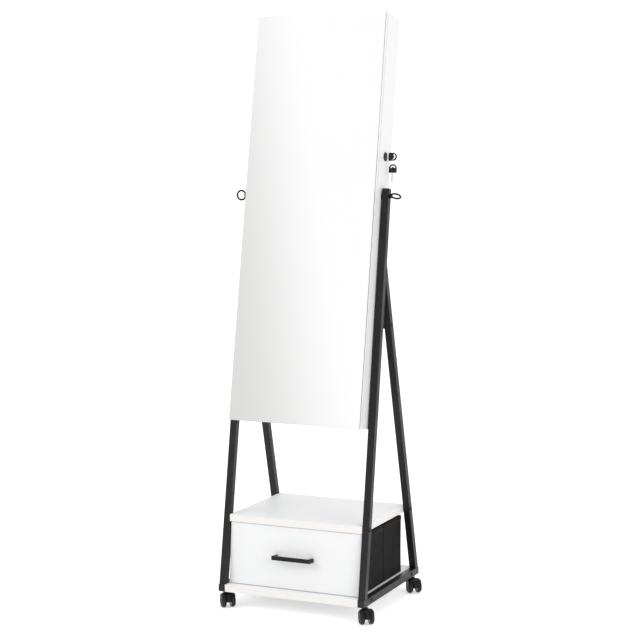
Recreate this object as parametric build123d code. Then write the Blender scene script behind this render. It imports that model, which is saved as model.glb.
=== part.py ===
from build123d import *
import os
from math import cos, degrees, radians, sin, sqrt, tan

os.makedirs("parts", exist_ok=True)

# A tall, shallow jewelry cabinet with a full mirror on its door. It tilts on two eye screws between two
# A-shaped side frames of square tube, which stand on swivel casters and carry a fabric drawer between two boards.
# Millimetres. X runs across the front, +Y goes to the back, +Z is up.
# The origin is on the floor, midway between the side frames and midway along the base rails.

# Side frames
tube_size = 19.0
tube_wall = 1.5
tube_corner = 1.5
rail_length = 386.0
rail_underside = 44.0
front_lean = 9.2
rear_lean = 14.55
front_leg_setback = 3.7
rear_leg_setback = 4.0
front_leg_top = 1108.5
cap_head = 2.5
cap_plug = 10.0
plug_clearance = 0.1

# Boards and their bolts
board_thickness = 19.0
top_board_height = 245.0
rail_bolt_setback = 50.0
bolt_radius = 3.0
bolt_grip = 26.0
bolt_head_radius = 6.0
bolt_head_height = 2.5
bolt_clearance = 0.3
thread_clearance = 0.05
crossbar_behind = 26.1
crossbar_plug = 20.0

# Cabinet: heights run up from its lower edge, depths run back from the face of the mirror
cabinet_width = 376.0
cabinet_height = 1096.0
cabinet_tilt = 9.9
mirror_thickness = 4.0
door_board = 11.0
door_gap = 2.4
case_depth = 81.0
panel_thickness = 12.0
back_thickness = 3.0
back_inset = 1.0
lining_thickness = 1.5
lining_clearance = 0.3
side_gap = 3.0

# Pivot
pivot_drop = 17.0
pivot_rise = 610.0
pivot_depth = 52.5
screw_radius = 4.0
screw_clearance = 0.3
eye_outer = 30.0
eye_wire = 4.8
collar_radius = 5.5
collar_length = 6.0
insert_radius = 6.0
insert_length = 11.5
washer_radius = 9.0
seat_gap = 0.3
right_eye_turn = -31.0
left_eye_turn = 90.0

# Inside of the case
shelf_thickness = 9.0
shelf_inset = 16.0
lower_shelf_height = 128.0
middle_shelf_height = 262.0
upper_shelf_drop = 110.0
shelf_rail_height = 22.0
shelf_rail_thickness = 6.0
hook_rail_height = 22.0
hook_rail_thickness = 10.0
hook_rail_side_gap = 16.0
hook_rail_drop = 34.0
hook_count = 9
hook_wire = 3.0
hook_reach = 12.0
hook_bend = 5.0
hook_tip = 4.0
hook_margin = 20.0
ring_tray_side_gap = 6.0
ring_tray_height = 166.0
ring_tray_depth = 26.0
ring_tray_wall = 6.0
ring_tray_floor = 4.0
ring_tray_bottom = 300.0
ring_roll_count = 7
ring_roll_gap = 0.6
ring_roll_end_round = 4.0

# Door furniture
hinge_height = 50.0
hinge_end_gap = 96.0
knuckle_radius = 2.5
hinge_pin_radius = 1.2
leaf_thickness = 1.0
leaf_width = 11.0
knuckle_gap = 0.3
earring_board_side_gap = 52.0
earring_board_height = 320.0
earring_board_drop = 156.0
earring_board_thickness = 2.5
earring_standoff = 10.0
earring_rail_width = 12.0
earring_slot_count = 7
earring_slot_height = 3.0
earring_slot_margin = 24.0

# Lock and keys
lock_rise = 715.8
lock_depth = 57.5
flange_radius = 11.7
flange_thickness = 2.5
lock_body_radius = 9.0
lock_body_reach = 6.0
lock_nut_radius = 12.5
lock_nut_thickness = 3.0
plug_radius = 6.0
plug_running = 0.05
plug_reach = 3.0
cam_thickness = 2.5
cam_width = 8.0
cam_hub_radius = 8.0
hook_depth = 6.0
hook_drop = 12.0
strike_pin_radius = 2.0
strike_pin_depth = 30.0
strike_play = 0.8
strike_pin_drop = 8.0
strike_plate_thickness = 2.0
strike_plate_height = 34.0
strike_arm_gap = 3.5
key_thickness = 2.0
key_blade_width = 7.6
key_blade_length = 18.5
key_shank = 7.5
key_bow_length = 23.0
key_bow_width = 21.5
key_bow_thickness = 3.2
key_bow_corner = 1.2
key_slot_outer = 7.2
key_slot_inner = 3.5
key_slot_corner = 0.8
keyway_clearance = 0.1
ring_outer = 20.0
ring_wire = 1.4
ring_play = 0.4
ring_sway = 15.0

# Drawer
drawer_front_thickness = 15.0
drawer_side_gap = 2.5
drawer_play = 1.5
drawer_front_setback = 23.0
drawer_lean = 4.5
bin_side_gap = 6.0
bin_wall = 2.5
bin_headroom = 8.0
bin_back = 125.0
soft_gap = 0.3
drawer_base_thickness = 2.5
drawer_base_gap = 2.0
handle_length = 110.0
handle_bar_height = 10.5
handle_bar_thickness = 7.0
handle_projection = 26.0
handle_rise = 77.0
handle_screw_radius = 2.0
handle_screw_depth = 10.0

# Casters
stem_setback = 27.0
stem_radius = 4.0
stem_collar_radius = 8.0
stem_collar_height = 2.4
stem_rise = 13.0
stem_reach = 17.0
stem_clearance = 0.08
caster_trail = 16.0
wheel_radius = 18.0
wheel_width = 12.0
wheel_round = 2.5
wheel_dish = 1.5
wheel_rim = 4.0
web_width = 12.0
web_gap = 0.5
fender_gap = 1.2
fender_wall = 2.6
fender_start = 12.0
fender_end = 150.0
fender_overhang = 1.0
boss_radius = 8.0
axle_radius = 2.5
axle_clearance = 0.05
caster_headings = {
    "front_left": 41.0,
    "front_right": 36.0,
    "back_left": 38.0,
    "back_right": 40.0,
}

# Places worked out from the sizes
rail_top = rail_underside + tube_size
rail_middle = rail_underside + tube_size / 2
frame_inner = cabinet_width / 2 + side_gap
frame_outer = frame_inner + tube_size
frame_middle = frame_inner + tube_size / 2
rail_end = rail_length / 2
bottom_board_top = rail_middle + board_thickness / 2
bin_height = top_board_height - board_thickness - bottom_board_top - bin_headroom
door_thickness = mirror_thickness + door_board
case_front = door_thickness + door_gap
case_back = case_front + case_depth
inner_half = cabinet_width / 2 - panel_thickness
inner_low = panel_thickness
inner_high = cabinet_height - panel_thickness
back_front = case_back - back_inset - back_thickness
lining_front = back_front - lining_thickness
inner_depth = lining_front - case_front
shelf_heights = {
    "lower": lower_shelf_height,
    "middle": middle_shelf_height,
    "upper": cabinet_height - upper_shelf_drop,
}
hook_rail_length = 2 * (inner_half - hook_rail_side_gap)
ring_tray_width = 2 * (inner_half - ring_tray_side_gap)
earring_board_width = cabinet_width - 2 * earring_board_side_gap
earring_board_bottom = cabinet_height - earring_board_drop - earring_board_height
hinge_heights = (hinge_end_gap, cabinet_height / 2, cabinet_height - hinge_end_gap)
far = 4000.0


def front_leg_y(z):
    """Y of the front leg's centre line at height z."""
    lean = radians(front_lean)
    foot = front_leg_setback - rail_end + tube_size / 2 / cos(lean)
    return foot + (z - rail_top) * tan(lean)


def rear_leg_y(z):
    """Y of the rear leg's centre line at height z."""
    lean = radians(rear_lean)
    foot = rail_end - rear_leg_setback - tube_size / 2 / cos(lean)
    return foot - (z - rail_top) * tan(lean)


pivot_z = front_leg_top - pivot_drop
pivot_y = front_leg_y(pivot_z)
top_board_middle = top_board_height - board_thickness / 2
top_board_front = front_leg_y(top_board_middle) - tube_size / 2 / cos(radians(front_lean))
top_board_back = rear_leg_y(top_board_middle) + tube_size / 2 / cos(radians(rear_lean))
cabinet_place = Pos(0, pivot_y, pivot_z) * Rot(X=-cabinet_tilt)


def crossbar_z():
    """Where the rear legs' line is crossbar_behind further back than the cabinet's back."""
    tilt = radians(cabinet_tilt)
    lean = radians(rear_lean)
    cabinet_back = pivot_y + (case_back - pivot_depth) / cos(tilt) - pivot_z * tan(tilt)
    leg = rear_leg_y(0)
    return (leg - cabinet_back - crossbar_behind) / (tan(tilt) + tan(lean))


crossbar_height = crossbar_z()


def on_case(x, depth, height):
    """A place on the tilted cabinet, from across, depth behind the mirror's face and height."""
    return cabinet_place * Pos(x, depth - pivot_depth, height - pivot_rise)


def block(place, x_size, depth, height):
    """A box standing on the place, with its front face and its middle across there."""
    return place * Pos(0, depth / 2, height / 2) * Box(x_size, depth, height)


def rod(place, radius, length):
    """A round bar along X that starts at the place and runs to +X, or to -X with a negative length."""
    return place * Pos(length / 2, 0, 0) * Rot(Y=90) * Cylinder(radius, abs(length))


# Square tube
def tube_bar(length):
    """A square tube standing on the origin, open at both ends."""
    outer = RectangleRounded(tube_size, tube_size, tube_corner)
    inner = Rectangle(tube_size - 2 * tube_wall, tube_size - 2 * tube_wall)
    return extrude(outer - inner, amount=length)


def bolt_hole(x, y, z):
    """Clears one bolt along X through a whole tube."""
    hole = bolt_radius + bolt_clearance
    return rod(Pos(x - tube_size, y, z), hole, 2 * tube_size)


def front_leg(side):
    x = side * frame_middle
    lean = radians(front_lean)
    rise = (front_leg_top - rail_top) / cos(lean)
    spare = tube_size * tan(lean)
    place = Pos(x, front_leg_y(rail_top), rail_top) * Rot(X=-front_lean)
    leg = place * Pos(0, 0, -spare) * tube_bar(rise + spare)
    leg -= Pos(x, 0, rail_top - far / 2) * Box(far, far, far)
    leg -= rod(Pos(x - tube_size, pivot_y, pivot_z), screw_radius + screw_clearance, 2 * tube_size)
    leg -= bolt_hole(x, front_leg_y(top_board_middle), top_board_middle)
    return leg


def rear_leg(side):
    x = side * frame_middle
    place = Pos(x, rear_leg_y(rail_top), rail_top) * Rot(X=rear_lean)
    leg = place * Pos(0, 0, -tube_size) * tube_bar(front_leg_top + tube_size)
    leg -= Pos(x, 0, rail_top - far / 2) * Box(far, far, far)
    front = Pos(x, front_leg_y(rail_top), rail_top) * Rot(X=-front_lean)
    leg -= front * Pos(0, tube_size / 2 - far / 2, 0) * Box(far, far, far)
    leg -= bolt_hole(x, rear_leg_y(top_board_middle), top_board_middle)
    leg -= bolt_hole(x, rear_leg_y(crossbar_height), crossbar_height)
    return leg


def rail_bolt_places():
    return (rail_bolt_setback - rail_end, rail_end - rail_bolt_setback)


def base_rail(side):
    x = side * frame_middle
    length = rail_length - 2 * cap_head
    rail = Pos(x, length / 2, rail_middle) * Rot(X=90) * tube_bar(length)
    for y in rail_bolt_places():
        rail -= bolt_hole(x, y, rail_middle)
    for y in (stem_setback - rail_end, rail_end - stem_setback):
        hole = Cylinder(stem_radius + stem_clearance, 2 * tube_wall)
        rail -= Pos(x, y, rail_underside + tube_wall / 2) * hole
    return rail


def end_cap():
    """A plastic plug that closes a tube, with its head from the origin upwards."""
    plug_size = tube_size - 2 * tube_wall - 2 * plug_clearance
    head = extrude(RectangleRounded(tube_size, tube_size, tube_corner), amount=cap_head)
    head = fillet(head.faces().sort_by(Axis.Z)[-1].edges(), min(1.0, cap_head / 3))
    plug = Pos(0, 0, -cap_plug / 2) * Box(plug_size, plug_size, cap_plug)
    return head + plug


def crossbar_plug_block():
    """A plug for one end of the crossbar, lying along X with its outer end at the origin."""
    size = tube_size - 2 * tube_wall - 2 * plug_clearance
    plug = Pos(-crossbar_plug / 2, 0, 0) * Box(crossbar_plug, size, size)
    return plug - Rot(Y=90) * Cylinder(bolt_radius + thread_clearance, 2 * crossbar_plug + 1)


def tube_plugs():
    """Caps on the open tube ends, and the threaded plugs inside the crossbar's ends."""
    caps = []
    for side in (-1, 1):
        x = side * frame_middle
        caps.append(Pos(x, cap_head - rail_end, rail_middle) * Rot(X=90) * end_cap())
        caps.append(Pos(x, rail_end - cap_head, rail_middle) * Rot(X=-90) * end_cap())
        top = Pos(x, front_leg_y(front_leg_top), front_leg_top) * Rot(X=-front_lean)
        caps.append(top * end_cap())
        end = Pos(side * frame_inner, rear_leg_y(crossbar_height), crossbar_height)
        turn = Rot(X=rear_lean) if side > 0 else Rot(X=rear_lean) * Rot(Z=180)
        caps.append(end * turn * crossbar_plug_block())
    return Compound(children=caps)


def rear_crossbar():
    place = Pos(-frame_inner, rear_leg_y(crossbar_height), crossbar_height) * Rot(X=rear_lean)
    return place * Rot(Y=90) * tube_bar(2 * frame_inner)


# Bolts and boards
def bolt_places():
    """Every bolt through the right-hand side frame, as Y and Z."""
    places = [(y, rail_middle) for y in rail_bolt_places()]
    places.append((front_leg_y(top_board_middle), top_board_middle))
    places.append((rear_leg_y(top_board_middle), top_board_middle))
    places.append((rear_leg_y(crossbar_height), crossbar_height))
    return places


def frame_bolts():
    bolts = []
    for side in (-1, 1):
        for y, z in bolt_places():
            face = Pos(side * frame_outer, y, z)
            head = rod(face, bolt_head_radius, side * bolt_head_height)
            outer_face = head.faces().sort_by(Axis.X)[-1 if side > 0 else 0]
            head = fillet(outer_face.edges(), bolt_head_height / 2)
            bolts.append(head + rod(face, bolt_radius, -side * (tube_size + bolt_grip)))
    return Compound(children=bolts)


def board_with_bores(y_low, y_high, z_top, bolt_ys):
    depth = y_high - y_low
    middle = z_top - board_thickness / 2
    board = Pos(0, y_low + depth / 2, middle) * Box(2 * frame_inner, depth, board_thickness)
    board = fillet(board.edges().filter_by(Axis.X), 0.8)
    for side in (-1, 1):
        for y in bolt_ys:
            reach = bolt_grip + bolt_clearance
            edge = Pos(side * frame_inner, y, middle)
            board -= rod(edge, bolt_radius + thread_clearance, -side * reach)
    return board


def top_board():
    ys = (front_leg_y(top_board_middle), rear_leg_y(top_board_middle))
    return board_with_bores(top_board_front, top_board_back, top_board_height, ys)


def bottom_board():
    return board_with_bores(-rail_end, rail_end, bottom_board_top, rail_bolt_places())


# Pivot
def eye_screw(side, turn):
    """A screw with a ring head, through the leg into the side of the cabinet."""
    face = frame_outer + seat_gap
    tip = cabinet_width / 2 - insert_length
    axis = Pos(0, pivot_y, pivot_z)
    shank = rod(axis * Pos(side * tip, 0, 0), screw_radius, side * (face - tip + 1))
    collar = rod(axis * Pos(side * face, 0, 0), collar_radius, side * collar_length)
    centre = side * (face + collar_length / 3 + eye_outer / 2)
    ring = Torus(eye_outer / 2 - eye_wire / 2, eye_wire / 2)
    return shank + collar + axis * Rot(X=turn) * Pos(centre, 0, 0) * ring


def pivot_washers():
    washers = []
    for side in (-1, 1):
        start = Pos(side * (cabinet_width / 2 + seat_gap), pivot_y, pivot_z)
        length = side * (side_gap - 2 * seat_gap)
        washer = rod(start, washer_radius, length)
        washers.append(washer - rod(start, screw_radius + screw_clearance, length))
    return Compound(children=washers)


def insert_nuts():
    nuts = []
    for side in (-1, 1):
        start = on_case(side * cabinet_width / 2, pivot_depth, pivot_rise)
        nut = rod(start, insert_radius, -side * insert_length)
        nuts.append(nut - rod(start, screw_radius + thread_clearance, -side * insert_length))
    return Compound(children=nuts)


# Case of the cabinet
def side_panel(side):
    x = side * (cabinet_width / 2 - panel_thickness / 2)
    panel = block(on_case(x, case_front, 0), panel_thickness, case_depth, cabinet_height)
    panel = fillet(panel.edges().filter_by(Axis.X), 0.6)
    bore = on_case(x - panel_thickness, pivot_depth, pivot_rise)
    panel -= rod(bore, insert_radius + thread_clearance, 2 * panel_thickness)
    if side > 0:
        bore = on_case(x - panel_thickness, lock_depth, lock_rise)
        panel -= rod(bore, lock_body_radius + thread_clearance, 2 * panel_thickness)
    return panel


def end_panel(height):
    return block(on_case(0, case_front, height), 2 * inner_half, case_depth, panel_thickness)


def back_panel():
    return block(on_case(0, back_front, inner_low), 2 * inner_half, back_thickness, inner_high - inner_low)


def back_lining():
    size = 2 * (inner_half - lining_clearance)
    low = inner_low + lining_clearance
    high = inner_high - lining_clearance
    return block(on_case(0, lining_front, low), size, lining_thickness, high - low)


def shelf(height):
    depth = inner_depth - shelf_inset
    place = on_case(0, lining_front - depth, height)
    board = block(place, 2 * inner_half, depth, shelf_thickness)
    return board


def shelf_rails():
    """Low rails that keep things on the floor of the case and on its shelves."""
    rails = []
    depth = case_front + shelf_inset
    tops = [panel_thickness] + [height + shelf_thickness for height in shelf_heights.values()]
    for top in tops:
        place = on_case(0, depth, top)
        rails.append(block(place, 2 * inner_half, shelf_rail_thickness, shelf_rail_height))
    return Compound(children=rails)


def hook_rail():
    low = shelf_heights["upper"] - hook_rail_drop
    place = on_case(0, lining_front - hook_rail_thickness, low)
    return block(place, hook_rail_length, hook_rail_thickness, hook_rail_height)


def necklace_hook(x):
    """A wire hook: straight out of the rail, then a quarter turn up to a short tip."""
    height = shelf_heights["upper"] - hook_rail_drop + hook_rail_height / 2
    corner = (0, -hook_reach, 0)
    path = FilletPolyline((0, 0, 0), corner, (0, -hook_reach, hook_bend + hook_tip), radius=hook_bend)
    wire = sweep((path ^ 0) * Circle(hook_wire / 2), path=path)
    return on_case(x, lining_front - hook_rail_thickness, height) * wire


def necklace_hooks():
    span = hook_rail_length - 2 * hook_margin
    step = span / (hook_count - 1)
    return Compound(children=[necklace_hook(i * step - span / 2) for i in range(hook_count)])


def ring_tray():
    place = on_case(0, lining_front - ring_tray_depth, ring_tray_bottom)
    tray = block(place, ring_tray_width, ring_tray_depth, ring_tray_height)
    hollow = block(
        place * Pos(0, -1, ring_tray_wall),
        ring_tray_width - 2 * ring_tray_wall,
        ring_tray_depth - ring_tray_floor + 1,
        ring_tray_height - 2 * ring_tray_wall,
    )
    return tray - hollow


def ring_rolls():
    """Padded rolls side by side in the tray, with a narrow slot for rings between each two."""
    room = ring_tray_height - 2 * ring_tray_wall
    pitch = (room - ring_roll_gap) / ring_roll_count
    height = pitch - ring_roll_gap
    depth = ring_tray_depth - ring_tray_floor - ring_roll_gap
    length = ring_tray_width - 2 * ring_tray_wall - 2 * ring_roll_gap
    rolls = []
    for i in range(ring_roll_count):
        low = ring_tray_bottom + ring_tray_wall + ring_roll_gap + i * pitch
        front = lining_front - ring_tray_floor - ring_roll_gap / 2 - depth
        roll = block(on_case(0, front, low), length, depth, height)
        front_edges = roll.edges().filter_by(Axis.X).sort_by(Axis.Y)[:2]
        rolls.append(fillet(front_edges, 0.45 * min(height, depth)))
    return Compound(children=rolls)


# Hinges on the left edge of the cabinet
hinge_x = -(cabinet_width / 2 + knuckle_gap + knuckle_radius)
hinge_depth = door_thickness + door_gap / 2
knuckle_length = (hinge_height - 2 * knuckle_gap) / 3


def upright(place, radius, length):
    return place * Pos(0, 0, length / 2) * Cylinder(radius, length)


def knuckle(low, depth_from):
    """One barrel of a hinge with the tab that joins it to its leaf."""
    barrel = upright(on_case(hinge_x, hinge_depth, low), knuckle_radius, knuckle_length)
    tab_reach = knuckle_radius + knuckle_gap
    tab = on_case(hinge_x + tab_reach / 2, depth_from, low)
    return barrel + block(tab, tab_reach, leaf_thickness, knuckle_length)


def hinge_leaf(middle, depth_from, slots):
    low = middle - hinge_height / 2
    place = on_case(hinge_x + knuckle_radius + knuckle_gap + leaf_width / 2, depth_from, low)
    leaf = block(place, leaf_width, leaf_thickness, hinge_height)
    for slot in slots:
        leaf += knuckle(low + slot * (knuckle_length + knuckle_gap), depth_from)
    bore = on_case(hinge_x, hinge_depth, low)
    return leaf - upright(bore, hinge_pin_radius + plug_running, hinge_height)


def case_hinge_leaves():
    depth = case_front - leaf_thickness
    return Compound(children=[hinge_leaf(middle, depth, (0, 2)) for middle in hinge_heights])


def door_hinge_leaves():
    return Compound(children=[hinge_leaf(middle, door_thickness, (1,)) for middle in hinge_heights])


def hinge_pins():
    pins = []
    for middle in hinge_heights:
        place = on_case(hinge_x, hinge_depth, middle - hinge_height / 2)
        pins.append(upright(place, hinge_pin_radius, hinge_height))
    return Compound(children=pins)


# Door
def door_panel():
    return block(on_case(0, mirror_thickness, 0), cabinet_width, door_board, cabinet_height)


def door_mirror():
    glass = block(on_case(0, 0, 0), cabinet_width, mirror_thickness, cabinet_height)
    return chamfer(glass.faces().sort_by(Axis.Y)[0].edges(), min(0.6, mirror_thickness / 4))


def earring_board():
    """A slotted board held off the back of the door by a rail down each side."""
    width = earring_board_width
    place = on_case(0, door_thickness + earring_standoff, earring_board_bottom)
    board = block(place, width, earring_board_thickness, earring_board_height)
    room = earring_board_height - 2 * earring_slot_margin
    step = room / (earring_slot_count - 1)
    slot_width = width - 2 * earring_slot_margin
    for i in range(earring_slot_count):
        middle = earring_slot_margin + i * step
        slot = place * Pos(0, -1, middle - earring_slot_height / 2)
        board -= block(slot, slot_width, earring_board_thickness + 2, earring_slot_height)
    for side in (-1, 1):
        x = side * (width / 2 - earring_rail_width / 2)
        rail = on_case(x, door_thickness, earring_board_bottom)
        board += block(rail, earring_rail_width, earring_standoff, earring_board_height)
    return board


# Lock
lock_face = cabinet_width / 2 + flange_thickness
lock_inner = cabinet_width / 2 - panel_thickness - lock_body_reach
cam_face = lock_inner - plug_reach
cam_reach = lock_depth - strike_pin_depth + strike_pin_radius + strike_play


def lock_at(x, depth=0.0, height=0.0):
    """A place on the lock's axis, or beside it."""
    return on_case(x, lock_depth + depth, lock_rise + height)


def lock_body():
    """The barrel with its flange outside, and the round nut that holds it inside."""
    outside = cabinet_width / 2
    barrel = rod(lock_at(lock_inner), lock_body_radius, outside - lock_inner)
    flange = rod(lock_at(outside), flange_radius, flange_thickness)
    flange = fillet(flange.faces().sort_by(Axis.X)[-1].edges(), flange_thickness / 3)
    bore = rod(lock_at(lock_inner - 1), plug_radius + plug_running, lock_face - lock_inner + 2)
    nut_face = outside - panel_thickness
    nut = rod(lock_at(nut_face), lock_nut_radius, -lock_nut_thickness)
    nut -= rod(lock_at(nut_face + 1), lock_body_radius + thread_clearance, -lock_nut_thickness - 2)
    return Compound(children=[barrel + flange - bore, nut])


def lock_plug():
    """The turning plug, with a keyway down its outer part."""
    plug = rod(lock_at(cam_face), plug_radius, lock_face - cam_face)
    depth = key_blade_length + keyway_clearance
    height = key_blade_width + 2 * keyway_clearance
    slot = Box(2 * depth, key_thickness + 2 * keyway_clearance, height)
    return plug - lock_at(lock_face) * slot


def lock_cam():
    """A hooked arm on the inner end of the plug, standing up while the lock is open."""
    x = cam_face - cam_thickness / 2
    hub = rod(lock_at(cam_face), cam_hub_radius, -cam_thickness)
    tip = cam_reach + hook_depth
    arm = lock_at(x, 0, tip / 2) * Box(cam_thickness, cam_width, tip)
    tooth_length = hook_drop + cam_width / 2
    tooth_depth = tooth_length / 2 - cam_width / 2
    tooth = lock_at(x, -tooth_depth, tip - hook_depth / 2) * Box(cam_thickness, tooth_length, hook_depth)
    return hub + arm + tooth


def lock_strike():
    """A bracket on the back of the door whose pin the cam's hook drops in front of."""
    pin_start = cam_face + strike_arm_gap
    arm_x = cam_face - cam_thickness - strike_arm_gap
    height = lock_rise - strike_pin_drop
    low = height - strike_plate_height / 2
    plate_width = pin_start - arm_x + strike_plate_thickness
    plate_x = (pin_start + arm_x - strike_plate_thickness) / 2
    plate = on_case(plate_x, door_thickness, low)
    strike = block(plate, plate_width, strike_plate_thickness, strike_plate_height)
    arm = on_case(arm_x - strike_plate_thickness / 2, door_thickness, height - 2 * strike_pin_radius)
    reach = strike_pin_depth + 2 * strike_pin_radius - door_thickness
    strike += block(arm, strike_plate_thickness, reach, 4 * strike_pin_radius)
    pin = on_case(arm_x - strike_plate_thickness, strike_pin_depth, height)
    return strike + rod(pin, strike_pin_radius, pin_start - arm_x + strike_plate_thickness)


# Keys: drawn lying along X, with the blade to -X and the middle of the bow's arch at the origin
def key_bow():
    """A flat grip, square towards the blade and arched away from it, with a curved slot under the arch."""
    arch = key_bow_width / 2
    straight = key_bow_length - arch
    outline = Circle(arch) + Pos(-straight / 2, 0) * Rectangle(straight, key_bow_width)
    corners = outline.vertices().sort_by(Axis.X)[:2]
    outline = fillet(corners, key_bow_corner)
    slot = Circle(key_slot_outer) - Circle(key_slot_inner)
    slot &= Pos(key_slot_outer, 0) * Rectangle(2 * key_slot_outer, 2 * key_slot_outer)
    slot = fillet(slot.vertices(), key_slot_corner)
    return extrude(Plane.XZ * (outline - slot), amount=key_bow_thickness / 2, both=True)


def key_blade():
    length = key_shank + key_blade_length
    start = key_bow_width / 2 - key_bow_length
    blade = Pos(start - length / 2, 0, 0) * Box(length, key_thickness, key_blade_width)
    tip = blade.edges().filter_by(Axis.Y).sort_by(Axis.X)[:2]
    return chamfer(tip, key_blade_width / 4)


ring_seat = key_slot_outer - ring_wire / 2 - ring_play
ring_radius = (ring_outer - ring_wire) / 2
bow_x = lock_face + key_shank + key_bow_length - key_bow_width / 2
ring_x = bow_x + ring_seat * sin(radians(ring_sway))
ring_height = -ring_seat * cos(radians(ring_sway))
spare_height = ring_height - 2 * ring_radius


def lock_key():
    key = Compound(children=[key_bow(), key_blade()])
    return lock_at(bow_x) * key


def key_ring():
    return lock_at(ring_x, 0, ring_height - ring_radius) * Rot(Y=90) * Torus(ring_radius, ring_wire / 2)


def spare_key():
    key = Compound(children=[key_bow(), key_blade()])
    return lock_at(ring_x, 0, spare_height - ring_seat) * Rot(Y=-90) * key


# Drawer
drawer_low = bottom_board_top + drawer_play
drawer_high = top_board_height - board_thickness - drawer_play
drawer_half = frame_inner - drawer_side_gap
drawer_place = Pos(0, drawer_front_setback - rail_end, drawer_low) * Rot(X=-drawer_lean)
handle_low = handle_rise - drawer_play


def handle_screw_bores(clearance):
    """Both screws of the handle, or their holes, from the back of the drawer front into the handle's legs."""
    bores = []
    length = drawer_front_thickness + handle_screw_depth + clearance
    height = handle_low + handle_bar_height / 2
    for side in (-1, 1):
        x = side * (handle_length - handle_bar_thickness) / 2
        back = drawer_place * Pos(x, drawer_front_thickness, height)
        bore = Cylinder(handle_screw_radius + clearance, length)
        bores.append(back * Pos(0, -length / 2, 0) * Rot(X=90) * bore)
    return bores


def drawer_front():
    height = (drawer_high - drawer_low) / cos(radians(drawer_lean))
    front = block(drawer_place, 2 * drawer_half, drawer_front_thickness, height)
    front = fillet(front.edges().filter_by(Axis.X), 0.6)
    for bore in handle_screw_bores(thread_clearance):
        front -= bore
    return front


def bin_outline(inset):
    """The bin's side outline as Y and Z, drawn in by inset at the front, back and bottom."""
    lean = tan(radians(drawer_lean))
    low = bottom_board_top + soft_gap + inset
    high = bottom_board_top + bin_height + (1 if inset else 0)
    face = drawer_front_setback - rail_end + (drawer_front_thickness + soft_gap) / cos(radians(drawer_lean))
    front_low = face + (low - drawer_low) * lean + inset
    front_high = face + (high - drawer_low) * lean + inset
    back = bin_back - inset
    return [(front_low, low), (back, low), (back, high), (front_high, high)]


def bin_block(inset, half):
    outline = Plane.YZ * Pos(0, 0) * make_face(Polyline(*bin_outline(inset), close=True))
    return extrude(outline, amount=half, both=True)


def drawer_bin():
    half = frame_inner - bin_side_gap
    return bin_block(0, half) - bin_block(bin_wall, half - bin_wall)


def drawer_base():
    """A stiff board on the floor of the bin."""
    half = frame_inner - bin_side_gap - bin_wall - drawer_base_gap
    outline = bin_outline(bin_wall)
    low = outline[0][1] + soft_gap
    front = outline[0][0] + drawer_base_gap
    back = bin_back - bin_wall - drawer_base_gap
    place = Pos(0, (front + back) / 2, low + drawer_base_thickness / 2)
    return place * Box(2 * half, back - front, drawer_base_thickness)


def drawer_handle():
    """A square-cornered bow handle, its legs at the ends of the bar."""
    place = drawer_place * Pos(0, -handle_projection, handle_low)
    bar = block(place, handle_length, handle_projection, handle_bar_height)
    gap = handle_length - 2 * handle_bar_thickness
    room = place * Pos(0, handle_bar_thickness, -1)
    bar -= block(room, gap, handle_projection, handle_bar_height + 2)
    front_edges = bar.edges().filter_by(Axis.X).sort_by(Axis.Y)[:2]
    bar = fillet(front_edges, 0.8)
    for bore in handle_screw_bores(thread_clearance):
        bar -= bore
    return bar


def handle_screws():
    return Compound(children=handle_screw_bores(0))


# Casters: drawn with the stem on the Z axis and the wheels trailing to +X
def caster_place(name):
    side = 1 if name.endswith("right") else -1
    end = 1 if name.startswith("back") else -1
    return Pos(side * frame_middle, end * (rail_end - stem_setback), 0)


def caster_turned(name):
    return caster_place(name) * Rot(Z=caster_headings[name] - 90)


def caster_stems():
    stems = []
    low = rail_underside - stem_collar_height
    for name in caster_headings:
        stem = upright(Pos(0, 0, low - stem_reach), stem_radius, stem_reach + stem_collar_height + stem_rise)
        collar = upright(Pos(0, 0, low), stem_collar_radius, stem_collar_height)
        stems.append(caster_place(name) * (stem + collar))
    return Compound(children=stems)


def ring_sector(inner, outer, start, end, width):
    """A curved fender about the Y axis through the origin."""
    sector = Rot(X=90) * (Cylinder(outer, width) - Cylinder(inner, width))
    wedge = Polyline(
        (0, 0),
        (2 * outer * cos(radians(start)), 2 * outer * sin(radians(start))),
        (0, 4 * outer),
        (2 * outer * cos(radians(end)), 2 * outer * sin(radians(end))),
        close=True,
    )
    keep = extrude(Plane.XZ * make_face(wedge), amount=width, both=True)
    return sector & keep


def caster_housing():
    axle = Pos(caster_trail, 0, wheel_radius)
    half = web_width / 2 + web_gap + wheel_width
    inner = wheel_radius + fender_gap
    fender = axle * ring_sector(inner, inner + fender_wall, fender_start, fender_end, 2 * (half + fender_overhang))
    web = axle * Rot(X=90) * Cylinder(inner + fender_wall / 2, web_width)
    web -= axle * Pos(0, 0, -far / 2 - wheel_radius / 3) * Box(far, far, far)
    top = rail_underside - stem_collar_height - seat_gap
    boss_low = wheel_radius + sqrt(inner**2 - caster_trail**2)
    boss = upright(Pos(0, 0, boss_low), boss_radius, top - boss_low)
    column = Pos(0, 0, (wheel_radius + top) / 2) * Box(2 * boss_radius, web_width, top - wheel_radius)
    housing = fender + web + boss + column
    for side in (-1, 1):
        room = axle * Pos(0, side * (web_width + far) / 2, 0) * Rot(X=90) * Cylinder(inner, far)
        housing -= room
    socket = stem_reach + 1.0
    housing -= upright(Pos(0, 0, top - socket), stem_radius + stem_clearance, socket + 1)
    return housing - axle * Rot(X=90) * Cylinder(axle_radius + axle_clearance, far)


def caster_axle():
    length = web_width + 2 * web_gap + 2 * (wheel_width - wheel_dish) - 1.0
    return Pos(caster_trail, 0, wheel_radius) * Rot(X=90) * Cylinder(axle_radius, length)


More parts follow.
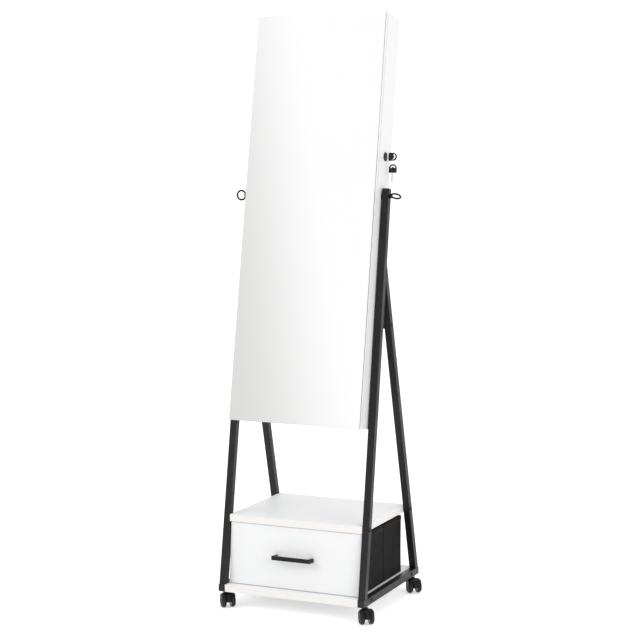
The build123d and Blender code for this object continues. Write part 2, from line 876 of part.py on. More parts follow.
def caster_wheels():
    wheels = []
    for side in (-1, 1):
        wheel = Cylinder(wheel_radius, wheel_width)
        wheel = fillet(wheel.edges(), min(wheel_round, 0.4 * wheel_width))
        dish = Cylinder(wheel_radius - wheel_rim, 2 * wheel_dish)
        wheel -= Pos(0, 0, wheel_width / 2) * dish
        wheel -= Cylinder(axle_radius + axle_clearance / 2, far)
        middle = side * (web_width / 2 + web_gap + wheel_width / 2)
        turned = Rot(X=-90 * side) * wheel
        wheels.append(Pos(caster_trail, middle, wheel_radius) * turned)
    return Compound(children=wheels)


# Every piece by its name
pieces = {
    "front_leg_left": front_leg(-1),
    "front_leg_right": front_leg(1),
    "rear_leg_left": rear_leg(-1),
    "rear_leg_right": rear_leg(1),
    "base_rail_left": base_rail(-1),
    "base_rail_right": base_rail(1),
    "tube_plugs": tube_plugs(),
    "rear_crossbar": rear_crossbar(),
    "frame_bolts": frame_bolts(),
    "top_board": top_board(),
    "bottom_board": bottom_board(),
    "caster_stems": caster_stems(),
    "pivot_washers": pivot_washers(),
    "side_panel_left": side_panel(-1),
    "side_panel_right": side_panel(1),
    "top_panel": end_panel(inner_high),
    "bottom_panel": end_panel(0),
    "back_panel": back_panel(),
    "back_lining": back_lining(),
    "shelf_rails": shelf_rails(),
    "hook_rail": hook_rail(),
    "necklace_hooks": necklace_hooks(),
    "ring_tray": ring_tray(),
    "ring_rolls": ring_rolls(),
    "insert_nuts": insert_nuts(),
    "lock_body": lock_body(),
    "case_hinge_leaves": case_hinge_leaves(),
    "door_panel": door_panel(),
    "door_mirror": door_mirror(),
    "door_hinge_leaves": door_hinge_leaves(),
    "hinge_pins": hinge_pins(),
    "lock_strike": lock_strike(),
    "earring_board": earring_board(),
    "lock_plug": lock_plug(),
    "lock_cam": lock_cam(),
    "lock_key": lock_key(),
    "key_ring": key_ring(),
    "spare_key": spare_key(),
    "eye_screw_left": eye_screw(-1, left_eye_turn),
    "eye_screw_right": eye_screw(1, right_eye_turn),
    "drawer_front": drawer_front(),
    "drawer_bin": drawer_bin(),
    "drawer_base": drawer_base(),
    "drawer_handle": drawer_handle(),
    "handle_screws": handle_screws(),
}
for name, height in shelf_heights.items():
    pieces["shelf_" + name] = shelf(height)
for name in caster_headings:
    place = caster_turned(name)
    pieces["caster_housing_" + name] = place * caster_housing()
    pieces["caster_axle_" + name] = place * caster_axle()
    pieces["caster_wheels_" + name] = place * caster_wheels()

for name, piece in pieces.items():
    export_step(piece, f"parts/{name}.step")
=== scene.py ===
from math import cos, pi, radians, sin, tan

import bmesh
import bpy
import numpy as np
from mathutils import Matrix, Vector


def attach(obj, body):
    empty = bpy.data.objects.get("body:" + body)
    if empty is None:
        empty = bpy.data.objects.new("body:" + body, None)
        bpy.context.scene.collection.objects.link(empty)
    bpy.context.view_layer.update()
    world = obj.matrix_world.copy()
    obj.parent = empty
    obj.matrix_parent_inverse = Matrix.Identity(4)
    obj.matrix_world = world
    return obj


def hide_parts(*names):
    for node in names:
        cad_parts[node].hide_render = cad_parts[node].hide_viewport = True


# A mirrored jewelry cabinet that tilts in an A-shaped stand of square tube, over a shelf board and a cloth drawer.
# Everything is in metres, in the frame of the solids: X across the front, +Y to the back, +Z up.
MM = 0.001

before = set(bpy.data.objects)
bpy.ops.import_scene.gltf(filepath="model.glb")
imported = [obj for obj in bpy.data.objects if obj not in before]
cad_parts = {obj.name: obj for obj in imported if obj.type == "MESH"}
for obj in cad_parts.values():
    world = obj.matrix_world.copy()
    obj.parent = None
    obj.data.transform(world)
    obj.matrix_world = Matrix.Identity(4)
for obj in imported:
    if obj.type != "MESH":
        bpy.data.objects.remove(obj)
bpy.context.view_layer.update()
draws = np.random.default_rng(7)

# Sizes of the solids that the new pieces are fitted to, in millimetres
CABINET_TILT = radians(9.9)
PIVOT_Y, PIVOT_Z = -13.096, 1091.5
PIVOT_RISE, PIVOT_DEPTH = 610.0, 52.5
CABINET_WIDTH, CABINET_HEIGHT = 376.0, 1096.0
PANEL = 12.0
LINING_FRONT, LINING_THICKNESS = 92.9, 1.5
TRAY_BOTTOM, TRAY_WALL, TRAY_FLOOR = 300.0, 6.0, 4.0
TRAY_WIDTH, TRAY_HEIGHT, TRAY_DEPTH = 340.0, 166.0, 26.0
ROLL_COUNT, ROLL_GAP = 7, 0.6
LOCK_DEPTH, LOCK_RISE = 57.5, 715.8
LOCK_FACE = 190.5
KEY_ARCH, KEY_STRAIGHT = 10.75, 12.25
KEY_BOW_X = LOCK_FACE + 7.5 + 23.0 - KEY_ARCH
RING_SEAT = 6.1
RING_RADIUS, RING_WIRE = 9.3, 0.7
RING_SWAY = radians(15.0)
BOARD_TOP = 63.0
DRAWER_LOW = BOARD_TOP + 1.5
DRAWER_LEAN = radians(4.5)
FRONT_LEAN, REAR_LEAN = radians(9.2), radians(14.55)
DRAWER_FACE, DRAWER_BOARD = -170.0, 15.0
BIN_HALF, BIN_BACK, BIN_HEIGHT, BIN_WALL = 185.0, 125.0, 155.0, 2.5
BIN_LOW, BIN_HEM = BOARD_TOP + 0.3, 14.0
FRAME_MIDDLE, FRAME_OUTER, HALF_TUBE = 200.5, 210.0, 9.5
LEG_FRONT, LEG_BACK = -189.3, 189.0
RAIL_BOLT_Y, RAIL_BOLT_Z, SHELF_BOLT_Z, CROSSBAR_Z = 143.0, 53.5, 235.5, 752.0
BOLT_HEAD, BOLT_SHANK, BOLT_REACH = 6.0, 3.0, 45.0
HINGE_HEIGHTS, HINGE_LEAF_X = (96.0, 548.0, 1000.0), -181.0
STEM_Y = 166.0
CASTER_TRAIL, WHEEL_RADIUS, WHEEL_WIDTH, WEB_WIDTH = 16.0, 18.0, 12.0, 12.0
CASTER_HEADINGS = {"front_left": 41.0, "front_right": 36.0, "back_left": 38.0, "back_right": 40.0}


# Shapes as whole arrays
def stacked(*parts):
    """Arrays that broadcast together, side by side on a new last axis."""
    return np.stack(np.broadcast_arrays(*parts), axis=-1)


def bell(value, middle, width):
    """A bump of height 1: e to the power of minus the square of the distance in widths."""
    return np.exp(-(((value - middle) / width) ** 2))


def on_case(x, depth, height):
    """Points of the tilted cabinet in the frame: depth behind the mirror's face, height above the lower edge."""
    v, w = depth - PIVOT_DEPTH, height - PIVOT_RISE
    y = PIVOT_Y + v * cos(CABINET_TILT) + w * sin(CABINET_TILT)
    z = PIVOT_Z - v * sin(CABINET_TILT) + w * cos(CABINET_TILT)
    return stacked(x, y, z)


def grid_faces(rows, columns, wrap_rows=False, wrap_columns=False):
    """Quads between the neighbours of a grid of points."""
    i = np.arange(rows if wrap_rows else rows - 1)[:, None]
    j = np.arange(columns if wrap_columns else columns - 1)[None, :]
    below, beside = (i + 1) % rows, (j + 1) % columns
    corners = [i * columns + j, i * columns + beside, below * columns + beside, below * columns + j]
    return stacked(*corners).reshape(-1, 4)


def joined(parts):
    """Several (points, quads) as one."""
    points, quads, start = [], [], 0
    for more, faces in parts:
        points.append(more.reshape(-1, 3))
        quads.append(faces + start)
        start += len(points[-1])
    return np.concatenate(points), np.concatenate(quads)


def grid(points, wrap_rows=False, wrap_columns=False):
    rows, columns = points.shape[:2]
    return points.reshape(-1, 3), grid_faces(rows, columns, wrap_rows, wrap_columns)


def spun(profile, steps=48):
    """A profile of (radius, height) turned about the Z axis: x = r cos a, y = r sin a, z = h."""
    profile = np.asarray(profile, float)
    angle = np.linspace(0, 2 * pi, steps, endpoint=False)
    radius, height = profile[:, :1], profile[:, 1:]
    points = stacked(radius * np.cos(angle), radius * np.sin(angle), height)
    return grid(points, wrap_columns=True)


def circle(radius, steps):
    angle = np.linspace(0, 2 * pi, steps, endpoint=False)
    return radius * np.stack([np.cos(angle), np.sin(angle)], axis=-1)


def capped(points):
    """Sections with one more at each end, whose points all meet in the middle of its neighbour."""
    first, last = points[:1].mean(axis=1, keepdims=True), points[-1:].mean(axis=1, keepdims=True)
    ends = [np.repeat(middle, points.shape[1], axis=1) for middle in (first, last)]
    return np.concatenate([ends[0], points, ends[1]])


def turned(points, matrix, centre=(0, 0, 0)):
    """Points times a 3x3 matrix, then moved to the centre."""
    return points @ np.asarray(matrix, float).T + np.asarray(centre, float)


def turn_z(angle):
    return np.array([[cos(angle), -sin(angle), 0], [sin(angle), cos(angle), 0], [0, 0, 1]])


def turn_x(angle):
    return np.array([[1, 0, 0], [0, cos(angle), -sin(angle)], [0, sin(angle), cos(angle)]])


def turn_y(angle):
    return np.array([[cos(angle), 0, sin(angle)], [0, 1, 0], [-sin(angle), 0, cos(angle)]])


def placed(name, data):
    """A new object with the data, linked to the scene."""
    made = bpy.data.objects.new(name, data)
    bpy.context.scene.collection.objects.link(made)
    return made


def new_piece(name, shape, body, materials, stands_for=(), sharp=35.0, uv=None, crease=None):
    """Makes a mesh object from points in millimetres and quads, merges its poles and turns its faces outwards."""
    points, quads = shape
    mesh = bpy.data.meshes.new(name)
    mesh.from_pydata((points * MM).tolist(), [], quads.tolist())
    if uv is not None:
        layer = mesh.uv_layers.new(name="cloth")
        layer.data.foreach_set("uv", (uv.reshape(-1, 2)[quads.reshape(-1)] * MM).astype(np.float32).reshape(-1))
    work = bmesh.new()
    work.from_mesh(mesh)
    bmesh.ops.remove_doubles(work, verts=work.verts, dist=1e-6)
    bmesh.ops.dissolve_degenerate(work, edges=work.edges, dist=1e-7)
    bmesh.ops.recalc_face_normals(work, faces=work.faces)
    work.to_mesh(mesh)
    work.free()
    mesh.shade_smooth()
    mesh.set_sharp_from_angle(angle=radians(sharp))
    piece = placed(name, mesh)
    for one in materials if isinstance(materials, (list, tuple)) else [materials]:
        mesh.materials.append(one)
    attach(piece, body)
    if stands_for:
        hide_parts(*stands_for)
    return piece


def softened(node, body, material, width, sharp=40.0):
    """A merged copy of a solid whose arrises are rounded by a small bevel."""
    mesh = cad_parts[node].data.copy()
    mesh.name = node + "_soft"
    work = bmesh.new()
    work.from_mesh(mesh)
    bmesh.ops.remove_doubles(work, verts=work.verts, dist=2e-6)
    bmesh.ops.dissolve_limit(work, angle_limit=radians(1.0), verts=work.verts, edges=work.edges)
    work.to_mesh(mesh)
    work.free()
    mesh.materials.clear()
    mesh.materials.append(material)
    mesh.shade_smooth()
    mesh.set_sharp_from_angle(angle=radians(sharp))
    piece = placed(node + "_soft", mesh)
    bevel = piece.modifiers.new("arris", "BEVEL")
    bevel.width = width * MM
    bevel.segments = 2
    bevel.limit_method = "ANGLE"
    bevel.angle_limit = radians(sharp)
    bevel.harden_normals = True
    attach(piece, body)
    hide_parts(node)


# Shader groups for the effects that several finishes share
def put(tree, kind, inputs=None, **settings):
    """Adds a node. Each input is a value, or a socket that is linked to it."""
    made = tree.nodes.new(kind)
    for key, value in settings.items():
        setattr(made, key, value)
    for key, value in (inputs or {}).items():
        if isinstance(value, bpy.types.NodeSocket):
            tree.links.new(value, made.inputs[key])
        else:
            made.inputs[key].default_value = value
    return made


def new_group(name, inputs, outputs):
    """An empty node group with named sockets. Returns it with its inside input and output nodes."""
    tree = bpy.data.node_groups.new(name, "ShaderNodeTree")
    kinds = {"v": "NodeSocketVector", "f": "NodeSocketFloat", "c": "NodeSocketColor"}
    for socket, (kind, value) in inputs.items():
        made = tree.interface.new_socket(name=socket, in_out="INPUT", socket_type=kinds[kind])
        if kind != "v":
            made.default_value = value
    for socket, kind in outputs.items():
        tree.interface.new_socket(name=socket, in_out="OUTPUT", socket_type=kinds[kind])
    return tree, tree.nodes.new("NodeGroupInput"), tree.nodes.new("NodeGroupOutput")


def math_node(tree, operation, *values):
    made = tree.nodes.new("ShaderNodeMath")
    made.operation = operation
    for i, value in enumerate(values):
        if isinstance(value, bpy.types.NodeSocket):
            tree.links.new(value, made.inputs[i])
        else:
            made.inputs[i].default_value = value
    return made.outputs[0]


def mapped(tree, value, low, high, first=0.0, last=1.0):
    """A value that runs from low to high, mapped to run from first to last and held there beyond."""
    inputs = {"Value": value, "From Min": low, "From Max": high, "To Min": first, "To Max": last}
    return put(tree, "ShaderNodeMapRange", inputs).outputs["Result"]


def blank_material(name):
    """A new material and its empty node tree."""
    material = bpy.data.materials.new(name)
    material.use_nodes = True
    material.node_tree.nodes.clear()
    return material, material.node_tree


def spread_group():
    """Noise over the surface, mapped to run between Low and High."""
    tree, start, end = new_group(
        "Spread",
        {"Vector": ("v", None), "Scale": ("f", 10.0), "Low": ("f", 0.0), "High": ("f", 1.0)},
        {"Value": "f"},
    )
    inside = {"Vector": start.outputs["Vector"], "Scale": start.outputs["Scale"], "Detail": 4.0}
    noise = put(tree, "ShaderNodeTexNoise", inside)
    value = mapped(tree, noise.outputs["Fac"], 0.3, 0.7, start.outputs["Low"], start.outputs["High"])
    tree.links.new(value, end.inputs["Value"])
    return tree


def grain_group():
    """Two sizes of fine noise as a height, as in powder coat, moulded plastic and melamine."""
    tree, start, end = new_group(
        "Grain", {"Vector": ("v", None), "Scale": ("f", 800.0), "Coarse": ("f", 0.4)}, {"Height": "f"}
    )
    fine = put(
        tree, "ShaderNodeTexNoise",
        {"Vector": start.outputs["Vector"], "Scale": start.outputs["Scale"], "Detail": 2.0},
    )
    wide = math_node(tree, "MULTIPLY", start.outputs["Scale"], 0.3)
    coarse = put(tree, "ShaderNodeTexNoise", {"Vector": start.outputs["Vector"], "Scale": wide, "Detail": 1.0})
    heavy = math_node(tree, "MULTIPLY", coarse.outputs["Fac"], start.outputs["Coarse"])
    tree.links.new(math_node(tree, "ADD", fine.outputs["Fac"], heavy), end.inputs["Height"])
    return tree


def arris_wear_and_highlight_group():
    """Lighter arrises, partly rubbed finish and partly painted highlight where the rounded edges catch the light:
    the rounded normal leaves the true one, broken up by noise.
    """
    tree, start, end = new_group(
        "Edge wear", {"Vector": ("v", None), "Radius": ("f", 0.001), "Amount": ("f", 0.5)}, {"Mask": "f"}
    )
    rounded = put(tree, "ShaderNodeBevel", {"Radius": start.outputs["Radius"]}, samples=4)
    true = put(tree, "ShaderNodeNewGeometry")
    same = put(
        tree, "ShaderNodeVectorMath",
        {0: rounded.outputs["Normal"], 1: true.outputs["True Normal"]}, operation="DOT_PRODUCT",
    )
    away = math_node(tree, "SUBTRACT", 1.0, same.outputs["Value"])
    noise = put(tree, "ShaderNodeTexNoise", {"Vector": start.outputs["Vector"], "Scale": 45.0, "Detail": 5.0})
    broken = math_node(tree, "SUBTRACT", noise.outputs["Fac"], 0.42)
    patches = math_node(tree, "MULTIPLY", away, math_node(tree, "MULTIPLY", broken, 12.0))
    mask = math_node(tree, "MULTIPLY", patches, start.outputs["Amount"])
    mask.node.use_clamp = True
    tree.links.new(mask, end.inputs["Mask"])
    return tree


def brushed_group():
    """Noise drawn out along one axis, as brushing or plating leaves on metal."""
    tree, start, end = new_group(
        "Brushed", {"Vector": ("v", None), "Scale": ("f", 300.0), "Along": ("f", 0.04)}, {"Height": "f"}
    )
    parts = put(tree, "ShaderNodeSeparateXYZ", {"Vector": start.outputs["Vector"]})
    squeezed = math_node(tree, "MULTIPLY", parts.outputs["Z"], start.outputs["Along"])
    drawn = put(
        tree, "ShaderNodeCombineXYZ", {"X": parts.outputs["X"], "Y": parts.outputs["Y"], "Z": squeezed}
    )
    noise = put(
        tree, "ShaderNodeTexNoise",
        {"Vector": drawn.outputs["Vector"], "Scale": start.outputs["Scale"], "Detail": 3.0},
    )
    tree.links.new(noise.outputs["Fac"], end.inputs["Height"])
    return tree


def dimple_group():
    """Staggered rows of small pressed dots, as on spun-bonded cloth. Vector is in metres on the cloth."""
    tree, start, end = new_group("Dimples", {"Vector": ("v", None), "Pitch": ("f", 0.002)}, {"Dot": "f"})
    parts = put(tree, "ShaderNodeSeparateXYZ", {"Vector": start.outputs["Vector"]})
    row = math_node(tree, "DIVIDE", parts.outputs["Y"], start.outputs["Pitch"])
    whole = math_node(tree, "FLOOR", row)
    shift = math_node(tree, "MULTIPLY", math_node(tree, "FLOORED_MODULO", whole, 2.0), 0.5)
    across = math_node(tree, "DIVIDE", parts.outputs["X"], start.outputs["Pitch"])
    column = math_node(tree, "ADD", across, shift)
    across = math_node(tree, "SUBTRACT", math_node(tree, "FRACT", column), 0.5)
    along = math_node(tree, "SUBTRACT", math_node(tree, "FRACT", row), 0.5)
    square = math_node(tree, "ADD", math_node(tree, "POWER", across, 2.0), math_node(tree, "POWER", along, 2.0))
    dot = mapped(tree, math_node(tree, "SQRT", square), 0.2, 0.36, 1.0, 0.0)
    tree.links.new(dot, end.inputs["Dot"])
    return tree


GROUPS = {
    "spread": spread_group(), "grain": grain_group(), "wear_and_highlight": arris_wear_and_highlight_group(),
    "brushed": brushed_group(), "dimples": dimple_group(),
}


class Finish:
    """A material with one Principled shader, built from the shared groups on Object coordinates or a UV map."""

    def __init__(self, name, uv=False, **plain):
        self.material, self.tree = blank_material(name)
        self.shader = put(self.tree, "ShaderNodeBsdfPrincipled")
        end = put(self.tree, "ShaderNodeOutputMaterial")
        self.tree.links.new(self.shader.outputs["BSDF"], end.inputs["Surface"])
        if uv:
            self.at = put(self.tree, "ShaderNodeUVMap", uv_map="cloth").outputs["UV"]
        else:
            self.at = put(self.tree, "ShaderNodeTexCoord").outputs["Object"]
        self.normal = None
        for key, value in plain.items():
            self.shader.inputs[key.replace("_", " ").title().replace("Ior", "IOR")].default_value = value

    def group(self, name, **inputs):
        made = put(self.tree, "ShaderNodeGroup", node_tree=GROUPS[name])
        self.tree.links.new(self.at, made.inputs["Vector"])
        for key, value in inputs.items():
            made.inputs[key].default_value = value
        return made.outputs[0]

    def spread(self, scale, low=0.0, high=1.0):
        return self.group("spread", Scale=scale, Low=low, High=high)

    def facing(self, axis):
        """The cosine between the surface's own normal and an axis of the frame."""
        normal = put(self.tree, "ShaderNodeTexCoord").outputs["Normal"]
        inputs = {0: normal, 1: axis}
        return put(self.tree, "ShaderNodeVectorMath", inputs, operation="DOT_PRODUCT").outputs["Value"]

    def mix(self, mask, first, second):
        made = put(self.tree, "ShaderNodeMix", {"Factor": mask}, data_type="RGBA")
        for socket, value in ((made.inputs[6], first), (made.inputs[7], second)):
            if isinstance(value, bpy.types.NodeSocket):
                self.tree.links.new(value, socket)
            else:
                socket.default_value = (*value, 1.0)
        return made.outputs[2]

    def colour(self, socket):
        self.tree.links.new(socket, self.shader.inputs["Base Color"])
        return self

    def rough(self, socket):
        self.tree.links.new(socket, self.shader.inputs["Roughness"])
        return self

    def bump(self, height, depth, strength=1.0):
        """Adds a relief of that depth in millimetres on top of those before."""
        inputs = {"Height": height, "Distance": depth * MM, "Strength": strength}
        if self.normal is not None:
            inputs["Normal"] = self.normal
        self.normal = put(self.tree, "ShaderNodeBump", inputs).outputs["Normal"]
        self.tree.links.new(self.normal, self.shader.inputs["Normal"])
        return self


def times(shade, colour):
    return tuple(shade * c for c in colour)


def powder_coat(name, dark, light, rough_low, rough_high, wear_and_highlight_amount):
    """Satin black coat on metal: orange peel, uneven gloss and lighter arrises, partly rubbed paint and partly
    painted highlight.
    """
    finish = Finish(name, specular_ior_level=0.26)
    tone = finish.mix(finish.spread(6.0), dark, light)
    # Arrises are mixed towards grey: partly rubbed paint, partly a painted highlight where the rounded edges catch
    # the light.
    finish.colour(finish.mix(finish.group("wear_and_highlight", Radius=0.0012, Amount=wear_and_highlight_amount), tone, (0.16, 0.16, 0.17)))
    finish.rough(finish.spread(14.0, rough_low, rough_high))
    finish.bump(finish.group("grain", Scale=1100.0, Coarse=0.8), 0.05)
    return finish.material


def moulded_plastic(name, dark, light, rough_low, rough_high, scale=1600.0, depth=0.03):
    """Fine-grained plastic: two tones, uneven gloss and lighter arrises, partly wear and partly painted highlight.
    """
    finish = Finish(name, specular_ior_level=0.28)
    tone = finish.mix(finish.spread(25.0), dark, light)
    # Arrises are mixed towards grey: partly wear, partly a painted highlight where the rounded edges catch the
    # light.
    finish.colour(finish.mix(finish.group("wear_and_highlight", Radius=0.0006, Amount=0.35), tone, (0.09, 0.09, 0.095)))
    finish.rough(finish.spread(60.0, rough_low, rough_high))
    finish.bump(finish.group("grain", Scale=scale, Coarse=0.5), depth)
    return finish.material


def white_board(name, face, edge, axis, dirt=0.007):
    """Melamine faces with a faint pearl, edge banding of another white round them, along an axis of the frame."""
    finish = Finish(name, coat_weight=0.04, coat_roughness=0.3, specular_ior_level=0.4)
    level = math_node(finish.tree, "ABSOLUTE", finish.facing(axis))
    band = mapped(finish.tree, level, 0.6, 0.9, 1.0, 0.0)
    faces = finish.mix(finish.spread(3.5), face, times(0.985, face))
    tone = finish.mix(band, faces, edge)
    grime = finish.spread(180.0, 0.0, dirt)
    finish.colour(finish.mix(grime, tone, (0.45, 0.42, 0.38)))
    finish.rough(finish.spread(9.0, 0.42, 0.54))
    finish.bump(finish.group("grain", Scale=520.0, Coarse=1.2), 0.02)
    return finish.material


def plated(name, colour, rough_low, rough_high, scale=420.0, depth=0.012, tint=(0.5, 0.49, 0.47)):
    """Plated metal: its colour drifts towards a tint, over a brushed grain."""
    finish = Finish(name, metallic=1.0)
    finish.colour(finish.mix(finish.spread(40.0, 0.0, 0.45), colour, tint))
    finish.rough(finish.spread(90.0, rough_low, rough_high))
    finish.bump(finish.group("brushed", Scale=scale), depth)
    return finish.material


def velvet(name, dark, light, sheen, uv=False):
    """Short pile: a soft sheen, the nap laid this way and that, and a fine uneven surface."""
    finish = Finish(
        name, uv=uv, sheen_weight=sheen, sheen_roughness=0.35, roughness=0.9, specular_ior_level=0.2
    )
    finish.shader.inputs["Sheen Tint"].default_value = (0.62, 0.62, 0.68, 1.0)
    nap = finish.spread(28.0)
    finish.colour(finish.mix(nap, dark, light))
    finish.bump(finish.group("grain", Scale=2600.0, Coarse=0.9), 0.25)
    finish.bump(finish.spread(55.0), 0.35)
    return finish.material


def spun_cloth(name):
    """Spun-bonded black cloth with pressed dots, a little fuzz and a slow unevenness from its stiffener."""
    finish = Finish(
        name, uv=True, roughness=0.82, sheen_weight=0.03, sheen_roughness=0.5, specular_ior_level=0.12
    )
    dots = finish.group("dimples", Pitch=0.0024)
    fibres = finish.group("grain", Scale=2200.0, Coarse=0.6)
    tone = finish.mix(finish.spread(30.0), (0.005, 0.005, 0.0053), (0.009, 0.009, 0.0096))
    finish.colour(finish.mix(dots, tone, (0.003, 0.003, 0.0033)))
    finish.bump(finish.spread(18.0), 0.6)
    finish.bump(fibres, 0.12)
    finish.bump(math_node(finish.tree, "SUBTRACT", 1.0, dots), 0.12)
    return finish.material


def thread(name):
    """Twisted thread: two near blacks and a grain drawn out along it."""
    finish = Finish(name, roughness=0.6, sheen_weight=0.3)
    finish.colour(finish.mix(finish.spread(900.0), (0.03, 0.03, 0.032), (0.06, 0.06, 0.063)))
    finish.bump(finish.group("brushed", Scale=2500.0, Along=0.5), 0.05)
    return finish.material


def mirror_glass():
    """Silvered float glass: a clear face, dark painted edges and the faintest unevenness."""
    finish = Finish("Silvered glass", metallic=1.0)
    front = mapped(finish.tree, finish.facing((0.0, -cos(CABINET_TILT), sin(CABINET_TILT))), 0.97, 0.99)
    silver = finish.mix(finish.spread(2.0), (0.94, 0.945, 0.94), (0.93, 0.935, 0.93))
    finish.colour(finish.mix(front, (0.3, 0.34, 0.32), silver))
    smear = finish.spread(7.0, 0.004, 0.022)
    rough = put(finish.tree, "ShaderNodeMix", {"Factor": front, "A": 0.35, "B": smear}, data_type="FLOAT")
    finish.rough(rough.outputs[0])
    finish.bump(finish.group("grain", Scale=26.0, Coarse=0.3), 0.002)
    return finish.material


# Finishes
case_up = (0.0, sin(CABINET_TILT), cos(CABINET_TILT))
case_in = (0.0, cos(CABINET_TILT), -sin(CABINET_TILT))
drawer_in = (0.0, cos(DRAWER_LEAN), -sin(DRAWER_LEAN))
white, plain, warm = (0.89, 0.893, 0.9), (0.885, 0.885, 0.885), (0.89, 0.868, 0.843)

frame_coat = powder_coat("Satin black coat", (0.009, 0.009, 0.0095), (0.015, 0.015, 0.016), 0.36, 0.5, 0.5)
handle_coat = powder_coat("Handle coat", (0.0035, 0.0035, 0.0045), (0.006, 0.006, 0.007), 0.42, 0.55, 0.2)
eye_coat = powder_coat("Eye screw coat", (0.0035, 0.0035, 0.004), (0.006, 0.006, 0.0065), 0.45, 0.6, 0.15)
bolt_coat = powder_coat("Black zinc", (0.009, 0.009, 0.01), (0.018, 0.018, 0.019), 0.3, 0.44, 0.5)
cap_plastic = moulded_plastic("Cap plastic", (0.012, 0.012, 0.012), (0.019, 0.019, 0.0195), 0.42, 0.58)
hood_plastic = moulded_plastic("Caster nylon", (0.002, 0.002, 0.0023), (0.005, 0.005, 0.0053), 0.4, 0.54)
wheel_plastic = moulded_plastic(
    "Wheel nylon", (0.0045, 0.0045, 0.005), (0.009, 0.009, 0.0095), 0.25, 0.4, 900.0, 0.02
)
key_plastic = moulded_plastic(
    "Key head plastic", (0.007, 0.007, 0.0075), (0.011, 0.011, 0.012), 0.3, 0.45, 1900.0, 0.02
)
level_board = white_board("White board, level", white, warm, (0.0, 0.0, 1.0))
side_board = white_board("White board, sides", white, plain, (1.0, 0.0, 0.0))
shelf_board = white_board("White board, shelves", white, plain, case_up)
back_board = white_board("White board, across", white, plain, case_in)
drawer_board = white_board("White board, drawer", white, plain, drawer_in)
steel = plated("Zinc-plated steel", (0.62, 0.63, 0.65), 0.26, 0.42)
nickel = plated("Nickel plate", (0.86, 0.855, 0.85), 0.14, 0.26, 700.0, 0.004, (0.78, 0.77, 0.75))
lock_coat = powder_coat("Black lock coat", (0.004, 0.004, 0.0045), (0.007, 0.007, 0.0075), 0.46, 0.6, 0.15)
lining_velvet = velvet("Flocked lining", (0.012, 0.012, 0.014), (0.02, 0.02, 0.023), 0.35, uv=True)
roll_velvet = velvet("Roll velvet", (0.016, 0.016, 0.018), (0.03, 0.03, 0.034), 0.6, uv=True)
bin_cloth = spun_cloth("Spun-bonded cloth")
bin_thread = thread("Black thread")
bumper_gel = moulded_plastic("Bumper gel", (0.5, 0.5, 0.5), (0.56, 0.56, 0.57), 0.15, 0.25, 1200.0, 0.01)
glass = mirror_glass()


def dress(material, *nodes):
    for node in nodes:
        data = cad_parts[node].data
        data.materials.clear()
        data.materials.append(material)


dress(
    frame_coat, "front_leg_left", "front_leg_right", "rear_leg_left", "rear_leg_right",
    "base_rail_left", "base_rail_right", "rear_crossbar",
)
dress(bolt_coat, "frame_bolts")
dress(eye_coat, "eye_screw_left", "eye_screw_right")
dress(cap_plastic, "tube_plugs", "pivot_washers")
dress(level_board, "top_board", "bottom_board")
dress(side_board, "side_panel_left", "side_panel_right")
dress(shelf_board, "top_panel", "bottom_panel", "shelf_lower", "shelf_middle", "shelf_upper")
dress(back_board, "back_panel", "door_panel", "shelf_rails", "hook_rail", "ring_tray", "earring_board")
dress(drawer_board, "drawer_front")
dress(glass, "door_mirror")
dress(
    steel, "caster_stems", "necklace_hooks", "insert_nuts", "case_hinge_leaves", "door_hinge_leaves", "hinge_pins",
    "lock_strike", "lock_cam", "handle_screws",
)
dress(lock_coat, "lock_body", "lock_plug")
for end in CASTER_HEADINGS:
    dress(steel, "caster_axle_" + end)
    dress(hood_plastic, "caster_housing_" + end)


# Drawer: a sewn bin of stiffened cloth
def bin_front(z):
    """Y of the bin's front wall at height z, which leans with the drawer's board."""
    return DRAWER_FACE + (DRAWER_BOARD + 0.3) / cos(DRAWER_LEAN) + (z - DRAWER_LOW) * tan(DRAWER_LEAN)


def around(half, front, back, corner, per_side=110, per_corner=6):
    """Points round a rectangle with round corners, as X, Y and the length walked, from the front left corner on."""
    half, front, back = (np.asarray(v, float)[:, None] for v in (half, front, back))
    reach = np.linspace(0, 1, per_side, endpoint=False)[None, :]
    bend = np.linspace(0, pi / 2, per_corner, endpoint=False)[None, :]
    across = (-half + corner) + reach * (2 * half - 2 * corner)
    deep = (front + corner) + reach * (back - front - 2 * corner)
    whole = np.ones_like(across)
    sides = [
        (across, front * whole),
        (half - corner + corner * np.sin(bend), front + corner - corner * np.cos(bend)),
        (half * whole, deep),
        (half - corner + corner * np.cos(bend), back - corner + corner * np.sin(bend)),
        (-across, back * whole),
        (-half + corner - corner * np.sin(bend), back - corner + corner * np.cos(bend)),
        (-half * whole, (back + front) - deep),
        (-half + corner - corner * np.cos(bend), front + corner - corner * np.sin(bend)),
    ]
    return np.concatenate([s[0] for s in sides], axis=1), np.concatenate([s[1] for s in sides], axis=1)


